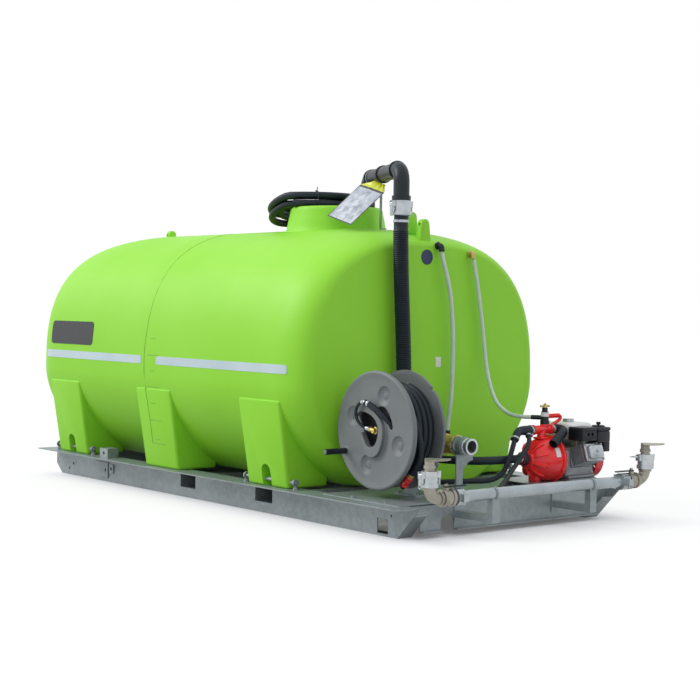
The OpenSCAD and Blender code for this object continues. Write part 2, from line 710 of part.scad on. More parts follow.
module brass_fittings() color(c_brass) at_datum() {
    // return fitting on the tank
    h = port_holes[2];
    rod_x([tank_rear - 2 * tank_wall, h[0], h[1]], 2 * tank_wall + edge, h[2] - sheet_off);
    translate([tank_rear + sheet_off, h[0], h[1]]) rotate([0, 90, 0]) cylinder(h = 14, r = 20, $fn = 6);
    rod_x([tank_rear + sheet_off, h[0], h[1]], 33, 13);
    translate([-596, h[0], h[1]]) sphere(15);
    translate([-596, h[0], h[1]]) rotate([-8, 0, 0]) rod_z([0, 0, -28], 28, 14);
    // check valve of the fill line
    tail = 40;
    ring_w = 18;
    body_r = 50;
    difference() {
        union() {
            rod_x([valve_x0, fill_y, fill_z], valve_x1 - valve_x0, body_r);
            for (x = [valve_x0, valve_x1 - ring_w]) translate([x, fill_y, fill_z]) rotate([0, 90, 0]) cylinder(h = ring_w, r = body_r + 8, $fn = 8);
            rod_x([valve_x0 - tail, fill_y, fill_z], tail + edge, tail_r);
        }
        rod_x([valve_x0 - tail - edge, fill_y, fill_z], valve_x1 - valve_x0 + tail + 2 * edge, tail_bore);
    }
}

// overhead fill

module over_path(r, z0, z1) {
    rod_z([0, 0, z0], over_z - over_bend - z0, r);
    translate([0, 0, over_z - over_bend]) bend(over_bend, r);
    rod_x([over_bend, 0, over_z], over_l - 2 * over_bend, r);
    translate([over_l, 0, over_z - over_bend]) mirror([1, 0, 0]) bend(over_bend, r);
    rod_z([over_l, 0, z1], over_z - over_bend - z1, r);
}

module overhead_pipe() color(c_black) at_datum() translate([riser_x, riser_y, 0]) rotate([0, 0, over_turn]) difference() {
    union() {
        over_path(over_r, over_foot, drop_end);
        for (x = [over_bend + 10, over_l / 2, over_l - over_bend - 28]) rod_x([x, 0, over_z], 18, over_r + 7);
        rod_z([0, 0, coupler_top + edge], 26, over_r + 8);
    }
    over_path(over_bore, over_foot - edge, drop_end - edge);
}

// coupler body standing on z 0 with its mouth up, ears and pins on both Y sides
module coupler(r, bore, tail_r, tail, bore_low) {
    ear = 5;
    gap = 9 + face_gap;
    ear_h = 34;
    pivot_y = r + arm_in;
    pivot_z = coupler_h - arm_drop;
    difference() {
        union() {
            cylinder(h = coupler_h, r = r);
            cylinder(h = 20, r = r + 5);
            if (tail > 0) translate([0, 0, -tail]) cylinder(h = tail + edge, r = tail_r);
            both_sides() {
                for (s = [-1, 1]) box([s > 0 ? gap : -gap - ear, 0, pivot_z - ear_h / 2], [s > 0 ? gap + ear : -gap, pivot_y + 9, pivot_z + ear_h / 2]);
                rod_x([-gap - ear, pivot_y, pivot_z], 2 * (gap + ear), pin_r);
            }
        }
        translate([0, 0, 34]) cylinder(h = coupler_h, r = bore);
        translate([0, 0, -tail - edge]) cylinder(h = coupler_h + tail + 2 * edge, r = bore_low);
    }
}

module camlock_couplers() color(c_steel) at_datum() {
    translate([riser_x, riser_y, coupler_top - coupler_h]) coupler(fill_coupler_r, over_r + sheet_off, tail_r, 44, tail_bore);
    for (s = [-1, 1]) translate([spray_x, spray_mid + s * head_s, head_base]) coupler(head_r, stub_r + 3 + sheet_off, head_r, 0, stub_r - 3);
}

// cam arm on the +Y side, pivot at the origin, hanging down; open turns it up about X
module cam_arm(open) rotate([open, 0, 0]) {
    boss = 10;
    half = 9;
    bar = 7;
    reach = 50;
    ring_r = 11;
    wire = 2;
    difference() {
        union() {
            rod_x([-half, 0, 0], 2 * half, boss);
            box([-half, boss - bar, -reach], [half, boss, 0]);
            translate([0, boss - bar / 2, -reach - ring_r + 2 * wire]) rotate([90, 0, 0])
                rotate_extrude($fn = 24) translate([ring_r, 0]) circle(wire, $fn = 14);
        }
        rod_x([-half - edge, 0, 0], 2 * half + 2 * edge, pin_r + run_gap);
    }
}
// places an arm on one side of a coupler standing at p
module place_arm(p, r, s, open) color(c_steel) at_datum()
    translate(p + [0, s * (r + arm_in), coupler_h - arm_drop]) rotate([0, 0, s > 0 ? 0 : 180]) cam_arm(open);

fill_at = [riser_x, riser_y, coupler_top - coupler_h];
head_l = [spray_x, spray_mid - head_s, head_base];
head_rt = [spray_x, spray_mid + head_s, head_base];
open_a = 92;
module fill_cam_a() place_arm(fill_at, fill_coupler_r, -1, 0);
module fill_cam_b() place_arm(fill_at, fill_coupler_r, 1, 0);
module spray_cam_a() place_arm(head_l, head_r, -1, 0);
module spray_cam_b() place_arm(head_l, head_r, 1, 0);
module spray_cam_c() place_arm(head_rt, head_r, -1, open_a);
module spray_cam_d() place_arm(head_rt, head_r, 1, 0);

// fill hose: down the tank end, round a bend, along to the check valve
fill_top = coupler_top - coupler_h - 2 * sheet_off;
fill_down = fill_top - fill_z - fill_bend;
fill_arc = fill_bend * PI / 2;
fill_run = valve_x0 - sheet_off - riser_x - fill_bend;
fill_len = fill_down + fill_arc + fill_run;
fill_lead = 70;
function fill_at_s(s) = s < fill_down
    ? [riser_x, riser_y + (fill_y - riser_y) * max(0, s - fill_lead) / (fill_down - fill_lead), fill_top - s]
    : s < fill_down + fill_arc ? let (a = (s - fill_down) / fill_bend * 180 / PI)
        [riser_x + fill_bend * (1 - cos(a)), fill_y, fill_z + fill_bend * (1 - sin(a))]
    : [riser_x + fill_bend + s - fill_down - fill_arc, fill_y, fill_z];
rib_end = 90;
rib_pitch = (fill_len - 2 * rib_end) / rib_n;
rib_s = concat([0], [for (i = [0 : rib_n - 1]) each [rib_end + i * rib_pitch, rib_end + (i + 0.55) * rib_pitch]],
    [fill_len - rib_end + 1, fill_len]);
rib_plain = fill_hose_d / 2 - rib_deep;
rib_r = concat([rib_plain], [for (i = [0 : rib_n - 1]) each [rib_plain, fill_hose_d / 2]], [rib_plain, rib_plain]);
bore_n = 24;
module fill_hose() color(c_black) at_datum() open_hose([for (s = rib_s) fill_at_s(s)], rib_r,
    [for (i = [0 : bore_n]) fill_at_s(fill_len * i / bore_n)], fill_bore, 8);

module clamp_z(p, r) {
    band = 2;
    w = 14;
    gap = 1;
    translate(p) difference() {
        union() {
            cylinder(h = w, r = r + gap + band);
            box([0, -r - gap - 12, 0], [22, -r - gap, w]);
        }
        translate([0, 0, -edge]) cylinder(h = w + 2 * edge, r = r + gap);
    }
}
module hose_clamps() color(c_steel) at_datum() {
    r = fill_hose_d / 2 - rib_deep;
    translate([riser_x, riser_y, fill_top - 40]) clamp_z([0, 0, 0], r);
    translate([valve_x0 - 36, fill_y, fill_z]) rotate([0, 90, 0]) clamp_z([0, 0, 0], r);
    translate([crank_x, suction_pts[0].y - 18, suction_pts[0].z]) rotate([-90, 0, 0]) clamp_z([0, 0, 0], suction_r);
}

module fill_adaptor() color(c_steel) at_datum() difference() {
    union() {
        rod_x([valve_x1 + sheet_off, fill_y, fill_z], adaptor_mouth - valve_x1 - sheet_off, adaptor_r);
        rod_x([valve_x1 + sheet_off, fill_y, fill_z], 16, adaptor_r + 8);
    }
    translate([adaptor_mouth - 26, fill_y, fill_z]) rotate([0, 90, 0]) rotate_extrude() translate([adaptor_r + 3, 0]) circle(8);
    rod_x([valve_x1 - edge, fill_y, fill_z], adaptor_mouth - valve_x1 + 2 * edge, adaptor_bore);
}

// stowed coil: two layers, spiral in, climb, spiral out
coil_c = [-1700, -30];
coil_ro = 290;
coil_step = 52;
coil_in = 2;
coil_climb = 0.5;
coil_rest = collar_top + coil_d / 2 - 2.3;
coil_layer = coil_d + 6;
coil_start = -60;
coil_rings = 24;
function ease(t) = t * t * (3 - 2 * t);
function coil_r(n) = n < coil_in ? coil_ro - coil_step * n
    : n < coil_in + coil_climb ? coil_ro - coil_step * coil_in
    : coil_ro - coil_step * coil_in + coil_step * (n - coil_in - coil_climb);
function coil_lift(n) = n < coil_in ? 0 : n < coil_in + coil_climb ? coil_layer * ease((n - coil_in) / coil_climb) : coil_layer;
// how far the coil sags past the collar's rim
sag_from = 300;
sag_run = 200;
sag = 128;
function coil_sag(x, y) = let (d = norm([x - collar_x, y])) d < sag_from ? 0 : sag * pow((d - sag_from) / sag_run, 1.3);
function coil_pt(n) = let (a = coil_start + 360 * n, x = coil_c.x + coil_r(n) * cos(a), y = coil_c.y + coil_r(n) * sin(a))
    [x, y, coil_rest + coil_lift(n) - coil_sag(x, y)];
coil_turns = 2 * coil_in + coil_climb;
coil_mid = [for (i = [0 : coil_turns * coil_rings]) coil_pt(i / coil_rings)];
function run_out(a, b) = a + unit(a - b) * coil_d;
coil_pts = concat([run_out(coil_mid[0], coil_mid[1])], coil_mid, [run_out(coil_mid[len(coil_mid) - 1], coil_mid[len(coil_mid) - 2])]);
function self_gap(p, d, skip) = min([for (i = [0 : len(p) - 1]) for (j = [i + skip : 1 : len(p) - 1]) norm(p[i] - p[j])]) - d;
module hose_coil() color(c_black) at_datum() {
    echo(coil_self_gap = self_gap(coil_pts, coil_d, 12));
    tube(coil_pts, coil_d / 2, 6);
}

// document bag hung on the overhead pipe
bag_tl = [-1102.5, -71.9, 1943.8];
bag_u = unit([215, -34, -84]);
bag_v0 = [-178, -157, -221];
bag_v = unit(bag_v0 - bag_u * (bag_v0 * bag_u));
bag_w = 240;
bag_l = 295;
bag_t = 6;
module document_bag() color(c_white) at_datum() {
    n = cross(bag_u, bag_v) * bag_t;
    face = [bag_tl, bag_tl + bag_u * bag_w, bag_tl + bag_u * bag_w + bag_v * bag_l, bag_tl + bag_v * bag_l];
    loft([face, [for (p = face) p + n]]);
}

// hose reel

// places a form drawn about Z on the reel's axle, z 0 at y, growing toward +Y
module on_axle(y) translate([reel_x, y, reel_z]) rotate([-90, 0, 0]) children();
// point at radius r and angle a of the reel, as seen from the near side
function reel_pt(r, a, y) = [reel_x + r * cos(a), y, reel_z + r * sin(a)];

module flange_disc() rotate_extrude($fn = 72) {
    translate([hub_r, disc_out]) square([reel_r - rim_w - hub_r + edge, disc_in - disc_out]);
    translate([reel_r - rim_w, 0]) square([rim_w, rim_t]);
}

cup_deep = 22;
cup_floor = 5;
cup_wide = 51;
cup_tight = 18;
module reel_cups(grow) for (k = [0 : 3]) translate(reel_pt(dimple_r, dimple_a + 90 * k, reel_near + disc_out)) rotate([-90, 0, 0])
    cylinder(h = cup_deep + cup_floor - disc_out + grow, r1 = cup_wide + grow, r2 = cup_tight + cup_floor + grow);

module reel_flange_near() color(c_grey) at_datum() {
    lip_r = 99;
    difference() {
        union() {
            on_axle(reel_near) {
                flange_disc();
                cylinder(h = disc_in, r = hub_r + edge);
                translate([0, 0, disc_out - 8]) cylinder(h = disc_in - disc_out + 8, r = lip_r);
            }
            reel_cups(0);
            translate(reel_pt(grip_r, grip_a, reel_near)) rotate([-90, 0, 0]) cylinder(h = disc_in, r = grip_d / 2 + 4);
            translate(reel_pt(grip_r, grip_a, reel_near - grip_l - face_gap - 4)) rotate([-90, 0, 0]) cylinder(h = grip_l + face_gap + 8, r = grip_pin);
            translate(reel_pt(grip_r, grip_a, reel_near - grip_l - 2 * face_gap - 4)) rotate([-90, 0, 0]) cylinder(h = 4, r = 2 * grip_pin);
        }
        for (k = [0 : 3]) translate(reel_pt(dimple_r, dimple_a + 90 * k, reel_near + disc_out - edge)) rotate([-90, 0, 0])
            cylinder(h = cup_deep - disc_out + edge, r1 = cup_wide - cup_floor, r2 = cup_tight);
        on_axle(reel_near - 3) cylinder(h = 16, r = hub_r - 6);
        // crescent slot beside the hub
        translate(reel_pt(118, 25, reel_near - edge)) rotate([-90, 0, 0]) cylinder(h = disc_in + 2 * edge, r = 15);
    }
}

module reel_flange_far() color(c_grey) at_datum() {
    shell = 8;
    bearing_r = 52;
    bearing_l = 110;
    drum_l = reel_far - reel_near - 2 * disc_in - 2 * face_gap;
    difference() {
        union() {
            on_axle(reel_far) mirror([0, 0, 1]) flange_disc();
            on_axle(reel_far - disc_in) cylinder(h = disc_in - disc_out, r = hub_r + edge);
            on_axle(reel_far - disc_in - drum_l) difference() {
                cylinder(h = drum_l + edge, r = core_r);
                translate([0, 0, -edge]) cylinder(h = drum_l + edge, r = core_r - shell);
            }
            on_axle(reel_far - disc_out - bearing_l) cylinder(h = bearing_l, r = bearing_r);
            on_axle(reel_far - disc_in - drum_l + shell) difference() {
                cylinder(h = shell, r = core_r - shell + edge);
                translate([0, 0, -edge]) cylinder(h = shell + 2 * edge, r = bearing_r);
            }
        }
        on_axle(reel_far - disc_out - bearing_l - edge) cylinder(h = bearing_l + 2 * disc_out, r = axle_r + run_gap);
        // the drum's edge is scalloped round the near flange's cups
        reel_cups(2 * face_gap);
    }
}

// one wound layer, then up over it and tangent to the nozzle
wind_turns = 4;
wind_r = core_r + reel_hose_d / 2 + 2.2;
wind_y0 = reel_far - disc_in - reel_hose_d / 2 - 0.8;
wind_y1 = reel_near + disc_in + reel_hose_d / 2 + 0.8;
over_y = -590;
end_a = -44;
climb_a = 45;
cross_a = 75;
wind_n = 24;
lift_r = wind_r + reel_hose_d + 2.6;
function wind_pt(g) = let (full = 360 * wind_turns, a = end_a + full + climb_a + cross_a - g)
    g <= full ? reel_pt(wind_r, a, wind_y0 + (wind_y1 - wind_y0) * g / full)
    : g <= full + climb_a ? reel_pt(wind_r + (lift_r - wind_r) * ease((g - full) / climb_a), a, wind_y1)
    : reel_pt(lift_r, a, wind_y1 + (over_y - wind_y1) * ease((g - full - climb_a) / cross_a));
wind_last = wind_turns * wind_n + (climb_a + cross_a) * wind_n / 360;
wind_mid = [for (i = [0 : wind_last]) wind_pt(i * 360 / wind_n)];
wind_dir = [-sin(end_a), 0, cos(end_a)] * -1;
wind_tip = reel_pt(lift_r, end_a, over_y);
wind_end = wind_tip + wind_dir * reel_hose_d;
wind_first = wind_mid[0] + unit(wind_mid[0] - wind_mid[1]) * reel_hose_d;
wind_pts = concat([wind_first], wind_mid, [wind_end]);
module reel_hose() color(c_black) at_datum() {
    echo(wind_self_gap = self_gap(wind_pts, reel_hose_d, 12));
    tube(wind_pts, reel_hose_d / 2, 6);
}

// swivel and short hose in the hub
module reel_swivel() color(c_brass) at_datum() {
    floor_y = reel_near + 13;
    arc_r = 55;
    hose_r = 13;
    on_axle(floor_y - 26) cylinder(h = 26 - sheet_off, r = 24, $fn = 6);
    on_axle(floor_y - 34) cylinder(h = 12, r = 16);
    translate([reel_x, floor_y - hose_r - sheet_off, reel_z]) rotate([90, 0, 0]) rotate([0, 0, 40])
        rotate_extrude(angle = 250) translate([arc_r, 0]) circle(hose_r, $fn = 20);
}

module crank_grip() color(c_black) at_datum() difference() {
    translate(reel_pt(grip_r, grip_a, reel_near - grip_l - face_gap)) rotate([-90, 0, 0]) cylinder(h = grip_l, r = grip_d / 2);
    translate(reel_pt(grip_r, grip_a, reel_near - grip_l - face_gap - edge)) rotate([-90, 0, 0]) cylinder(h = grip_l + 2 * edge, r = grip_pin + run_gap);
}

module reel_stand() color(c_galv) at_datum() {
    post = 60;
    plate = [170, 120, 8];
    top = 590;
    axle_l = 116;
    inlet_y = -372;
    inlet_r = 18;
    y1 = stand_y + post;
    box([reel_x - plate.x / 2, stand_y - 20, deck_top], [reel_x + plate.x / 2, stand_y - 20 + plate.y, deck_top + plate.z]);
    box([reel_x - post / 2, stand_y, deck_top], [reel_x + post / 2, y1, top]);
    on_axle(stand_y - axle_l) cylinder(h = axle_l + edge, r = axle_r);
    on_axle(stand_y - 9) cylinder(h = 10, r = axle_r + 10);
    on_axle(y1 - edge) cylinder(h = inlet_y - y1 + edge, r = inlet_r);
    translate([reel_x, inlet_y, reel_z]) sphere(inlet_r);
    rod_z([reel_x, inlet_y, 482], reel_z - 482, inlet_r);
}

module reel_nozzle() color(c_red) at_datum() translate(wind_end + wind_dir * sheet_off) rotate([0, 180 - end_a, 0])
    nozzle_form();
module nozzle_form() {
    cylinder(h = 24, r = reel_hose_d / 2 - 1);
    translate([0, 0, 24]) cylinder(h = 60, r1 = 20, r2 = 21);
    translate([0, 0, 84]) cylinder(h = 26, r1 = 17, r2 = 12);
}

// spray bar

module spray_pipe() color(c_galv) at_datum() {
    wall = 4;
    stub_y = -240;
    stub = 34;
    difference() {
        union() {
            rod_y([spray_x, spray_mid - pipe_half, spray_z], 2 * pipe_half, spray_d / 2);
            rod_x([spray_x - spray_d / 2 - stub, stub_y, spray_z], stub + spray_d / 4, feed_r + 4);
        }
        rod_y([spray_x, spray_mid - pipe_half - edge, spray_z], 2 * pipe_half + 2 * edge, spray_d / 2 - wall);
    }
}

module grooved_couplings() color(c_galv) at_datum() for (s = [-1, 1]) {
    shell_r = 45;
    lug = [22, 34, 18];
    y = spray_mid + s * (pipe_half + edge);
    difference() {
        union() {
            rod_y([spray_x, y - groove_w / 2, spray_z], groove_w, shell_r);
            for (t = [-1, 1]) {
                box([spray_x + t * (shell_r + 2) - lug.x, y - lug.y / 2, spray_z - lug.z], [spray_x + t * (shell_r + 2) + lug.x, y + lug.y / 2, spray_z + lug.z]);
                rod_z([spray_x + t * (shell_r + 8), y, spray_z - 34], 68, 6);
            }
        }
        rod_y([spray_x, y - groove_w, spray_z], 2 * groove_w, spray_d / 2 + sheet_off);
    }
}

stem_s = (ball_in + ball_out) / 2;
stem_r = 6;
lever_z = spray_z + 52;
module ball_valves() color(c_bronze) at_datum() for (s = [-1, 1]) {
    y = spray_mid + s * stem_s;
    body_r = 39;
    nipple = stem_s - pipe_half - 2 * edge;
    half = (ball_out - ball_in) / 2;
    difference() {
        union() {
            rod_y([spray_x, y - half, spray_z], 2 * half, body_r);
            for (t = [-1, 1]) rod_y([spray_x, y + t * (half - 8) - 8, spray_z], 16, body_r + 5);
            rod_y([spray_x, s > 0 ? y - nipple : y, spray_z], nipple, spray_d / 2);
        }
        rod_y([spray_x, y - stem_s, spray_z], 2 * stem_s, spray_d / 2 - 4);
    }
    rod_z([spray_x, y, spray_z + body_r - 5], lever_z - spray_z - body_r + 5 - face_gap, 14);
    rod_z([spray_x, y, lever_z - 2], 20, stem_r);
    hex_z([spray_x, y, lever_z + 6 + 2 * face_gap], 8, 18);
}

// lever about its stem at the origin, pointing along +Y
module lever_form() difference() {
    t = 6;
    w = 24;
    union() {
        cylinder(h = t, r = 16);
        box([-w / 2, 0, 0], [w / 2, lever_l - w / 2, t]);
        translate([0, lever_l - w / 2, 0]) cylinder(h = t, r = w / 2);
    }
    translate([0, 0, -edge]) cylinder(h = t + 2 * edge, r = stem_r + run_gap);
}
module valve_lever_left() color(c_black) at_datum() translate([spray_x, spray_mid - stem_s, lever_z]) lever_form();
module valve_lever_right() color(c_black) at_datum() translate([spray_x, spray_mid + stem_s, lever_z]) rotate([0, 0, 180]) lever_form();

module spray_elbows() color(c_bronze) at_datum() for (s = [-1, 1]) translate([spray_x, spray_mid + s * head_s, head_base])
    rotate([0, 0, s > 0 ? -90 : 90]) difference() {
        run = head_s - elbow_bend - ball_out - sheet_off;
        wall = 4;
        union() {
            mirror([0, 0, 1]) bend(elbow_bend, spray_d / 2);
            rod_x([elbow_bend, 0, -elbow_bend], run, spray_d / 2);
            rod_x([elbow_bend, 0, -elbow_bend], run, spray_d / 2 + 6);
            translate([0, 0, -14]) cylinder(h = 14 - sheet_off, r = spray_d / 2 + 6);
        }
        mirror([0, 0, 1]) bend(elbow_bend, spray_d / 2 - wall);
        rod_x([elbow_bend, 0, -elbow_bend], run + edge, spray_d / 2 - wall);
        cylinder(h = edge, r = spray_d / 2 - wall);
    }

module spray_heads() color(c_brass) at_datum() for (s = [-1, 1]) translate([spray_x, spray_mid + s * head_s, 0]) {
    bore = 17;
    base = head_base + 34 + sheet_off;
    fan_z = stub_top + 9;
    fan_t = 5;
    spread = 54;
    difference() {
        union() {
            rod_z([0, 0, base], head_top + edge - base, stub_r + 3);
            rod_z([0, 0, head_top], stub_top - head_top, stub_r);
            rod_z([0, 0, head_top + 12], 16, stub_r + 5);
        }
        rod_z([0, 0, base - edge], stub_top - base + 2 * edge, bore);
    }
    // deflector and the half wall that holds it
    difference() {
        rod_z([0, 0, stub_top - edge], fan_z - stub_top + edge + fan_t, stub_r);
        rod_z([0, 0, stub_top - 2 * edge], fan_z - stub_top + 2 * edge, bore);
        box([0, -stub_r - edge, stub_top], [stub_r + edge, stub_r + edge, fan_z]);
    }
    translate([0, 0, fan_z]) linear_extrude(fan_t) polygon(concat([[-stub_r / 2, -stub_r / 2], [-stub_r / 2, stub_r / 2]],
        [for (a = [spread : -4 : -spread]) fan_r * [cos(a), sin(a)]]));
}

// pump

suction_r = 23;
suction_pts = [[-100, 230, 350], [-100, 205, 350], [-100, 170, 350], [-100, 130, 350], [-105.5, 78, 349], [-121.6, 28.3, 348],
    [-147.7, -16.9, 347], [-182.7, -55.8, 346], [-225, -86.5, 345], [-272.7, -107.8, 344], [-323.9, -118.6, 343],
    [-380, -120, 342], [-450, -120, 341], [-530, -120, 340], [-594, -120, 340]];
module suction_hose() color(c_black) at_datum() tube(suction_pts, suction_r, 12);

delivery_r = 14;
delivery_pts = [[-100, 240, 505], [-99, 218.4, 503], [-92.5, 197.5, 496.9], [-83.1, 178.2, 487], [-73.8, 161.1, 473.6],
    [-67.3, 146.8, 457.3], [-63, 135.8, 438.6], [-60.1, 121.5, 408], [-58, 107.2, 377.3], [-58.3, 92.9, 346.7],
    [-60.1, 78.6, 316.1], [-63.5, 66.2, 294.9], [-68, 50, 276.4], [-77, 30.7, 261.4], [-88, 8.8, 250.2],
    [-100.3, -14.8, 243.3], [-112.2, -39.2, 241], [-133.2, -90, 241], [-154.3, -140.8, 241], [-175.3, -191.6, 241],
    [-206, -265.7, 241], [-219.6, -298.6, 246.6], [-231.9, -328.2, 263], [-241.6, -351.7, 288.4], [-247.8, -366.8, 320.5],
    [-250, -372, 356], [-250, -372, 400], [-250, -372, 440], [-250, -372, 481.5]];
module delivery_hose() color(c_black) at_datum() tube(delivery_pts, delivery_r, 10);

feed_r = 13;
feed_pts = [[-68, 257, 473], [-50, 243, 456], [-34, 218, 430], [-22, 186, 402], [-14, 150, 374], [-4, 108, 342],
    [14, 60, 315], [46, 4, 294], [91, -62, 277], [136, -130, 262], [180, -194, 250], [196.4, -213.3, 247],
    [217.2, -227.8, 245], [240.8, -236.9, 244], [263.8, -240, 244]];
module feed_hose() color(c_black) at_datum() tube(feed_pts, feed_r, 10);

module pump_casing() color(c_red) at_datum() {
    wall = 18;
    rim_r = 132;
    rim_y = 18;
    boss_r = 34;
    port_r = 21;
    foot = [150, 40];
    boss_y = suction_pts[0].y;
    bolt_n = 8;
    dome_l = 150;
    hollow_y = 62;
    difference() {
        union() {
            // domed casing
            translate([crank_x, case_y0, case_z]) rotate([-90, 0, 0]) rotate_extrude()
                polygon(concat([[0, 0]], [for (a = [30 : 10 : 90]) [case_r * sin(a), dome_l * (1 - cos(a)) - dome_l * (1 - cos(30))]],
                    [[case_r, case_y1 - case_y0], [0, case_y1 - case_y0]]));
            rod_y([crank_x, boss_y + sheet_off, suction_pts[0].z], case_y0 - boss_y, boss_r);
            rod_z([crank_x, 390, case_z], main_z - case_z, main_r);
            rod_y([crank_x, main_y0, main_z], main_y1 - main_y0, main_r);
            rod_z([crank_x, relief_y, main_z], relief_z - main_z - sheet_off, 20);
            box([crank_x - foot[0] / 2, case_y0 + 20, tray_top], [crank_x + foot[0] / 2, case_y0 + 20 + foot[1], case_z - 60]);
            intersection() {
                rod_y([crank_x, case_y1 - rim_y, case_z], rim_y, rim_r);
                box([crank_x - rim_r, case_y0, tray_top], [crank_x + rim_r, case_y1, case_z + rim_r]);
            }
        }
        translate([crank_x, case_y0 + wall, case_z]) rotate([-90, 0, 0])
            cylinder(h = hollow_y, r1 = case_r / 2 - 4, r2 = case_r - wall);
        rod_y([crank_x, case_y0 + wall + hollow_y - edge, case_z], case_y1 - case_y0 - 2 * wall - hollow_y + edge, case_r - wall);
        rod_y([crank_x, boss_y - edge, suction_pts[0].z], case_y0 - boss_y + 2 * wall, port_r);
        rod_y([crank_x, case_y1 - wall - edge, crank_z], wall + 2 * edge, shaft_r + run_gap);
        rod_z([crank_x, 390, case_z], main_z - case_z, main_r - 8);
        rod_y([crank_x, main_y0 - edge, main_z], main_y1 - main_y0 + 2 * edge, main_r - 8);
        rod_z([crank_x, relief_y, main_z], relief_z - main_z + edge, 10);
    }
    for (k = [0 : bolt_n - 1]) translate([crank_x + 124 * cos(45 * k + 22.5), case_y1 - rim_y - 7, case_z + 124 * sin(45 * k + 22.5)])
        if (case_z + 124 * sin(45 * k + 22.5) > tray_top + 12) rotate([-90, 0, 0]) cylinder(h = 8, r = 10, $fn = 6);
    // carrying handle
    grip_x = -150;
    bar_h = 578;
    bar_r = 8;
    rod_to([grip_x, 432, case_z + 70], [grip_x, 434, bar_h], bar_r);
    rod_to([grip_x, 434, bar_h], [grip_x, 546, bar_h], bar_r + 1);
    rod_to([grip_x, case_y1 - 9, case_z + 112], [grip_x, 545, bar_h], bar_r);
    for (y = [434, 546]) translate([grip_x, y, bar_h]) sphere(bar_r + 2);
}

shaft_end = 530;
module pump_rotor() color(c_steel) at_datum() {
    disc_r = 84;
    disc_y = 352;
    disc_t = 10;
    vane_h = 34;
    vane_n = 6;
    rod_y([crank_x, disc_y, crank_z], shaft_end - disc_y, shaft_r);
    rod_y([crank_x, disc_y, crank_z], disc_t, disc_r);
    for (k = [0 : vane_n - 1]) translate([crank_x, disc_y, crank_z]) rotate([0, 60 * k, 0]) box([22, disc_t - edge, -3], [disc_r - 4, disc_t + vane_h, 3]);
}

module relief_valve() color(c_black) at_datum() translate([crank_x, relief_y, relief_z]) {
    body_r = 21;
    barb_z = 36;
    cylinder(h = 70, r = body_r);
    cylinder(h = 22, r = 27, $fn = 6);
    translate([0, 0, 70]) cylinder(h = 22, r = 17, $fn = 6);
    translate([0, 0, 92]) cylinder(h = 24, r = 5);
    translate([0, 0, barb_z]) rotate([0, 0, 207]) rod_x([0, 0, 0], 78, 9 + 4);
}

module relief_handle() color(c_brass) at_datum() translate([crank_x, relief_y, relief_z + 92 + face_gap]) difference() {
    union() {
        cylinder(h = 18, r = 11);
        rod_y([0, -34, 9], 68, 6);
    }
    translate([0, 0, -edge]) cylinder(h = 40, r = 5 + run_gap);
}

// engine

tilt = 18;
module engine_block() color(c_black) at_datum() {
    case0 = [-190, 505, 225];
    case1 = [-12, 738, 402];
    base_t = 12;
    fin_n = 7;
    half_h = 54;
    y0 = 540;
    y1 = 690;
    difference() {
        union() {
            box(case0, case1);
            box([case0.x - 20, case0.y + 6, tray_top], [case1.x + 20, case1.y - 6, tray_top + base_t]);
            rod_y([crank_x, case0.y - 15, crank_z], 16, 60);
            // cylinder, fins, head and valve cover, leaning up toward +X
            translate([crank_x, 0, crank_z]) rotate([0, -tilt, 0]) {
                box([40, y0 + 12, -half_h + 12], [190, y1 - 12, half_h - 12]);
                for (k = [0 : fin_n - 1]) box([94 + 14 * k, y0, -half_h], [100 + 14 * k, y1, half_h]);
                box([190, y0 + 6, -half_h + 4], [204, y1 - 6, half_h - 4]);
                box([204, y0 + 24, -half_h + 18], [228, y1 - 24, half_h - 18]);
                translate([228, (y0 + y1) / 2, 0]) rotate([0, 90, 0]) cylinder(h = 6, r = 9, $fn = 6);
            }
            // pillars under the tank and the muffler
            for (x = [-170, -60]) box([x - 12, 600, case1.z - edge], [x + 12, 720, 440 - sheet_off]);
            box([-20, 560, 390], [8, 600, 446 - sheet_off]);
            box([-20, 660, 390], [14, 720, 432 - sheet_off]);
        }
        rod_y([crank_x, case0.y - 16, crank_z], shaft_end - case0.y + 18, shaft_r + run_gap);
    }
}

module muffler() color(c_black) at_datum() {
    a = [-18, 516, 446];
    b = [100, 632, 523];
    slot_n = 5;
    wall = 3;
    difference() {
        box(a, b);
        box(a + [wall, wall, wall], b - [wall, wall, wall]);
        for (k = [0 : slot_n - 1]) box([a.x + 16, a.y - edge, a.z + 12 + 12 * k], [b.x - 12, a.y + wall + edge, a.z + 17 + 12 * k]);
        for (k = [0 : slot_n - 1]) box([b.x - wall - edge, a.y + 14, a.z + 12 + 12 * k], [b.x + edge, b.y - 14, a.z + 17 + 12 * k]);
    }
    rod_y([(a.x + b.x) / 2, a.y + wall - edge, (a.z + b.z) / 2], b.y - a.y - 2 * wall + 2 * edge, 30);
}

module air_cleaner() color(c_black) at_datum() {
    a = [2, 638, 432];
    b = [100, 747, 519];
    box(a, b);
    rod_z([(a.x + b.x) / 2, (a.y + b.y) / 2, b.z - edge], 10, 40);
    rod_z([(a.x + b.x) / 2, (a.y + b.y) / 2, b.z], 21, 13);
    box([40, 700, 380], [92, 747, a.z + edge]);
}

